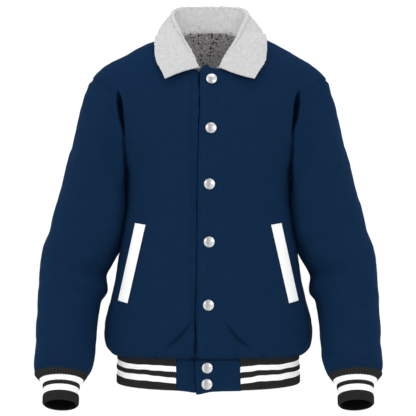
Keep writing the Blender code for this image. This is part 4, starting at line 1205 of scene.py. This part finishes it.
def lifted(points, side, clearance):
    """Points pushed out from the body's axis where they would lie less than clearance above its cloth."""
    x, y, z = points[..., 0], points[..., 1], points[..., 2]
    width = smooth(UPPER, 1, z)
    depth = np.where(y < 0, smooth(UPPER, 2, z), smooth(UPPER, 3, z))
    flat = (1 - np.clip(np.abs(x) / width, 0, 0.99) ** ROUNDNESS) ** (1 / ROUNDNESS)
    up = np.maximum(z - CHEST_Z, 0) / (shoulder_z(x, side) - CHEST_Z)
    out = np.abs(y) / (depth * flat)
    near = (up**TOP_ROUNDNESS + out**TOP_ROUNDNESS) ** (1 / TOP_ROUNDNESS)
    radius = np.hypot(y, z - CHEST_Z) / near
    wanted = 1 + clearance / np.clip(radius, 1, WIDEST_CURVE)
    grow = np.maximum(wanted / near, 1)
    return np.stack([x, y * grow, CHEST_Z + (z - CHEST_Z) * grow], -1)


def collar_line(share, side):
    """Outer points down the collar at one place of the neckline, in the coordinates of +X."""
    base = neckline_point(share)
    *crest_and_edge, radius, swell = curves(COLLAR, share)
    roll_top, edge = np.array(crest_and_edge).reshape(2, 3)
    lean = COLLAR_LEAN * side * ease(*LEAN_HEIGHTS, roll_top[2])
    roll_top[0] += lean
    edge[0] += lean - COLLAR_NARROW * (side < 0) * ease(*NARROW_SHARES, share)
    outward = unit((roll_top - NECK_MIDDLE) * LEVEL)
    ahead, behind = (np.array(curves(COLLAR, share + step)[:3]) for step in (CREST_STEP, -CREST_STEP))
    upward = unit(np.cross(ahead - behind, outward))
    inward = unit(NECK_MIDDLE - base * LEVEL)
    inside = 1 - ease(*TUCK_SHARES, share)
    base = base + inward * (COLLAR_INSET + (CLOTH + FLEECE) * inside)
    base = base + UPWARD * (COLLAR_FOOT_GAP - (COLLAR_FOOT_GAP + COLLAR_TUCK) * inside)
    centre = roll_top - upward * radius
    stand = base + (centre - outward * radius - base) * np.linspace(0, 1, STAND_ROWS)[:-1, None]
    turn = np.linspace(0, math.pi, ROLL_STEPS + 1)[:, None]
    roll = centre + radius * (upward * np.sin(turn) - outward * np.cos(turn))
    down = np.linspace(0, 1, FALL_ROWS + 1)[1:, None]
    swell = outward * swell + UPWARD * COLLAR_BOW[side] * ease(*BOW_SHARES, share)
    fall = roll[-1] + (edge - roll[-1]) * down + swell * np.sin(math.pi * down)
    return np.concatenate([stand, roll, lifted(fall, side, FLEECE + COLLAR_CLEARANCE)])


def collar(cloth, painted_highlight_cloth):
    lines = []
    for share in np.linspace(-1, 1, COLLAR_COLUMNS):
        side = -1 if share < 0 else 1
        lines.append(mirrored(collar_line(abs(share), side), side))
    plain = np.stack(lines, axis=1)
    normals = grid_normals(plain, False)
    pile = field(plain, FLEECE_GRAIN, SEEDS["collar"])
    pile = pile + field(plain, FLEECE_GRAIN / 2, SEEDS["collar_fine"]) / 2
    row = np.arange(len(plain) + 1)
    down = (row - STAND_ROWS - ROLL_STEPS) / FALL_ROWS
    # Painted highlight: the fall's outer edge rows and the stand's foot rows take a lighter fleece.
    painted_highlight_rows = (down > COLLAR_EDGE) | (row / STAND_ROWS < COLLAR_FOOT)
    shell("collar_fleece", sunk(plain, normals, -FLEECE_DEPTH * pile), plain - normals * FLEECE, False,
          (cloth, painted_highlight_cloth, cloth), "collar", "collar_fleece", painted_highlight_rows.astype(int).tolist())


# ---- welts and snaps
def on_front(side, x, z):
    """A point of a front's surface at distance x from the middle and height z."""
    x, z = np.asarray(x, float), np.asarray(z, float)
    rows = np.linspace(0, LOWER_END, LOWER_STEPS)
    low = np.interp(-z, -smooth(LOWER_AT, 1, rows), rows)
    width = np.where(z > UNDERARM_Z, smooth(UPPER, 1, z), smooth(LOWER_AT, 3, low))
    depth = np.where(z > UNDERARM_Z, smooth(UPPER, 2, z), smooth(LOWER_AT, 4, low))
    y = -depth * (1 - (np.abs(x) / width) ** ROUNDNESS) ** (1 / ROUNDNESS)
    return np.stack([x, np.where(z > UNDERARM_Z, y * top_factor(x, z, side), y), z], -1)


def front_normal(side, x, z):
    step = 1.0
    across = on_front(side, x + step, z) - on_front(side, x - step, z)
    down = on_front(side, x, z - step) - on_front(side, x, z + step)
    return unit(np.cross(down, across))


def welt_layers(along, across):
    """A welt's outer face, its foot and its normals on +X, at shares down and across it."""
    edges = ((np.array(WELT["top_" + edge]), np.array(WELT["bottom_" + edge])) for edge in ("outer", "inner"))
    outer, inner = (top + (bottom - top) * along[..., None] for top, bottom in edges)
    x, z = np.moveaxis(inner + (outer - inner) * across[..., None], -1, 0)
    foot, normals = on_front(1, x, z), front_normal(1, x, z)
    swell = WELT_SWELL * (np.sin(math.pi * across) * np.sin(math.pi * along)) ** 0.5
    return sunk(foot, normals, -(WELT_GAP + WELT_CLOTH + swell)), foot + normals * WELT_GAP, normals


def pocket_welt(side, cloth):
    across, along = np.meshgrid(np.linspace(0, 1, WELT_COLUMNS), np.linspace(0, 1, WELT_ROWS))
    outer, inner, _ = welt_layers(along, across)
    sided_shell("pocket_welt", "cloth", side, outer, inner, False, (cloth, cloth), "welt")


def snap_place(x, z):
    """Where a snap sits, and the cloth's normal there."""
    if z > LOWER[-1][0]:
        place, normal = on_front(1, x, z), front_normal(1, x, z)
    else:
        row = np.interp(-z, [-ring[0] for ring in HEM], range(len(HEM)))
        place, normal = hem_ring(angle_at(x, HEM[0][1]), row), FRONTWARD
    return place + normal * SEAM_GAP, normal


def snap(number, x, z, metal):
    """A domed cap with a rolled rim, turned about the cloth's normal."""
    place, normal = snap_place(x, z)
    across = unit(np.cross(UPWARD, normal))
    above = np.cross(normal, across)
    turns = turns_of(SNAP_SEGMENTS)
    around = across * np.cos(turns)[:, None] + above * np.sin(turns)[:, None]
    profile = np.array(SNAP_PROFILE) * np.array([SNAP_RADIUS, SNAP_HEIGHT])
    rings = [place + around * radius + normal * height for radius, height in profile]
    points = np.concatenate([*rings, [place + normal * SNAP_TOP * SNAP_HEIGHT], [place]])
    top = len(points) - 2
    last = top - SNAP_SEGMENTS
    faces = [(a, d, c, b) for a, b, c, d in tube_faces(len(profile), SNAP_SEGMENTS)]
    for c in range(SNAP_SEGMENTS):
        d = (c + 1) % SNAP_SEGMENTS
        faces += [(c, d, top), (last + d, last + c, top + 1)]
    add_piece(f"snap_{number}_cap", points, faces, [0] * len(faces), (metal,), f"snap_{number}")


# ---- stitches
def stitch_line(name, line, normals, thread):
    """A row of small stitches along a line of points, half sunk in the cloth."""
    length = run_length(line)
    count = max(1, int(length[-1] / STITCH_PITCH))
    starts = (np.arange(count) + 0.5) * length[-1] / count - STITCH_LENGTH / 2
    share, thin = np.array(STITCH_PROFILE).T
    at = starts[:, None] + STITCH_LENGTH * share
    place = at_length(line, length, at)
    ahead = at_length(line, length, at + STITCH_LOOK) - place
    ahead = unit(np.where((at < length[-1])[..., None], ahead, place - line[-2]))
    side = unit(np.cross(ahead, at_length(normals, length, at)))
    up = np.cross(side, ahead)
    turns = turns_of(STITCH_SIDES)[:, None]
    ring = side[..., None, :] * np.cos(turns) + up[..., None, :] * np.sin(turns)
    middle_line = (place + up * STITCH_RADIUS * STITCH_RISE)[..., None, :]
    points = middle_line + ring * STITCH_RADIUS * thin[:, None, None]
    size = len(STITCH_PROFILE) * STITCH_SIDES
    tube = tube_faces(len(STITCH_PROFILE), STITCH_SIDES)
    tube += [range(STITCH_SIDES - 1, -1, -1), range(size - STITCH_SIDES, size)]
    faces = [[corner + stitch * size for corner in face] for stitch in range(count) for face in tube]
    add_piece(name, points.reshape(-1, 3), faces, [0] * len(faces), (thread,), None)


def edge_stitches(thread):
    """Topstitching down the left front beside its edge."""
    start, end, width = EDGE_STITCH_RUN
    columns, rows = EDGE_STITCH_GRID
    grids = front_grid(1, np.linspace(0, width, columns), np.linspace(start, end, rows))
    line, up = (np.array([at_length(values, row[:, 0], row[0, 0] + EDGE_STITCH)
                          for row, values in zip(grids[0], grid)]) for grid in grids)
    stitch_line("front_edge_stitches", line, up, thread)


def tab_stitches(thread):
    """Topstitching round the left tab, inside its edges."""
    grids = tab_grid(1, TAB_COLUMNS, np.linspace(0, len(HEM) - 1, TAB_ROWS))
    inset_columns = round(TAB_STITCH / (TAB_HALF + UNDERLAP) * TAB_COLUMNS)
    inset_rows = round(TAB_STITCH / (HEM[0][0] - HEM[1][0]) * TAB_ROWS)
    rows = np.arange(inset_rows, TAB_ROWS - inset_rows)
    columns = np.arange(inset_columns, TAB_COLUMNS - inset_columns)
    loop = [(rows[0], c) for c in columns[::-1]] + [(r, columns[0]) for r in rows[1:]]
    loop += [(rows[-1], c) for c in columns[1:]]
    line, up = (np.array([grid[place] for place in loop]) for grid in grids)
    stitch_line("tab_left_stitches", line, up, thread)


def welt_stitches(side, thread):
    """Stitching round a welt, just inside its edges."""
    low, high = WELT_STITCH
    corners = ((low, high), (1 - low, high), (1 - low, 1 - high), (low, 1 - high), (low, high))
    runs = [np.linspace(*run) for run in zip(corners, corners[1:], WELT_STITCH_STEPS)]
    line, _, normals = welt_layers(*np.concatenate(runs).T)
    name = sided("welt", side) + "_stitches"
    stitch_line(name, mirrored(line, side), mirrored(normals, side), thread)


# ---- the jacket
navy = wool("navy_wool", (0.0047, 0.0190, 0.0510))
grey_lining = flecked_fleece("grey_flecked_lining", (0.50, 0.485, 0.485), (0.030, 0.012, 0.010))
sleeve_lining = satin("navy_satin", (0.010, 0.014, 0.024))
charcoal = knit("charcoal_knit", (0.0235, 0.0235, 0.0245), 0.25)
white_knit = knit("white_knit", (0.95, 0.95, 0.95), 0.06)
# Near-black knit for the inside of the cuffs: painted shade, the darkness of the hollow drawn into its colour.
painted_shade_knit = knit("painted_shade_knit", (0.004, 0.004, 0.0045), 0.2)
pale_fleece = fleece("pale_fleece", (0.54, 0.54, 0.545), 0.14)
# A lighter fleece for the collar's edges: painted highlight.
painted_highlight_fleece = fleece("painted_highlight_fleece", (0.64, 0.64, 0.65), 0.08)
white_cloth = smooth_trim("white_cloth", (0.90, 0.90, 0.90))
# The snaps' metal carries painted reflection bands in its colour.
metal = pearly_metal("pearly_metal", (0.56, 0.56, 0.57))
navy_thread = smooth_trim("navy_thread", (0.010, 0.028, 0.064))
white_thread = smooth_trim("white_thread", (0.86, 0.86, 0.86))

back(navy, grey_lining)
lining_back(grey_lining)
hem_rib((charcoal, white_knit, charcoal))
collar(pale_fleece, painted_highlight_fleece)
for side in (-1, 1):
    front(side, navy, grey_lining)
    sleeve(side, navy, sleeve_lining)
    # The cuff's inner face takes the knit with painted shade.
    cuff(side, (charcoal, white_knit, painted_shade_knit))
    hem_tab(side, navy)
    pocket_welt(side, white_cloth)
    welt_stitches(side, white_thread)
edge_stitches(navy_thread)
tab_stitches(navy_thread)
for number, (x, z) in enumerate(SNAPS, start=1):
    snap(number, x, z, metal)


# ---- floor, light and camera
def aimed(thing, target):
    """Turn a light or camera, whose own -Z axis is its view, towards a point."""
    away = np.array(target) - np.array(thing.location)
    level = math.hypot(away[0], away[1])
    thing.rotation_euler = (math.pi / 2 + math.atan2(away[2], level), 0.0, math.atan2(-away[0], away[1]))


def placed(name, data, place):
    """A new object of the scene at a place."""
    thing = bpy.data.objects.new(name, data)
    thing.location = place
    bpy.context.scene.collection.objects.link(thing)
    return thing


def stage_floor():
    half = FLOOR_SIZE / 2
    mesh = bpy.data.meshes.new("floor")
    corners = [(x, y, FLOOR_HEIGHT) for x, y in ((-half, -half), (half, -half), (half, half), (-half, half))]
    mesh.from_pydata(corners, [], [(0, 1, 2, 3)])
    paint = Weave("pale_floor", 1.0, gloss=0.5)
    paint.fill(paint.shader, {"Base Color": FLOOR_COLOUR})
    mesh.materials.append(paint.material)
    floor = placed("floor", mesh, (0, 0, 0))


def light_and_camera():
    scene = bpy.context.scene
    world = bpy.data.worlds.new("studio")
    world.use_nodes = True
    world.node_tree.nodes["Background"].inputs["Color"].default_value = (1, 1, 1, 1)
    world.node_tree.nodes["Background"].inputs["Strength"].default_value = WORLD_STRENGTH
    scene.world = world
    for number, (place, size, watts) in enumerate(LIGHTS):
        lamp = bpy.data.lights.new(f"softbox_{number}", "AREA")
        lamp.size = size
        lamp.energy = watts
        softbox = placed(f"softbox_{number}", lamp, place)
        aimed(softbox, LIT_POINT)
    lens = bpy.data.cameras.new("camera")
    lens.lens = CAMERA_LENS
    lens.sensor_width = SENSOR
    lens.shift_x = CAMERA_SHIFT
    scene.camera = placed("camera", lens, (0, -CAMERA_DISTANCE, CAMERA_HEIGHT))
    scene.camera.rotation_euler = (math.pi / 2, 0, 0)
    scene.view_settings.view_transform = "Standard"


stage_floor()
light_and_camera()
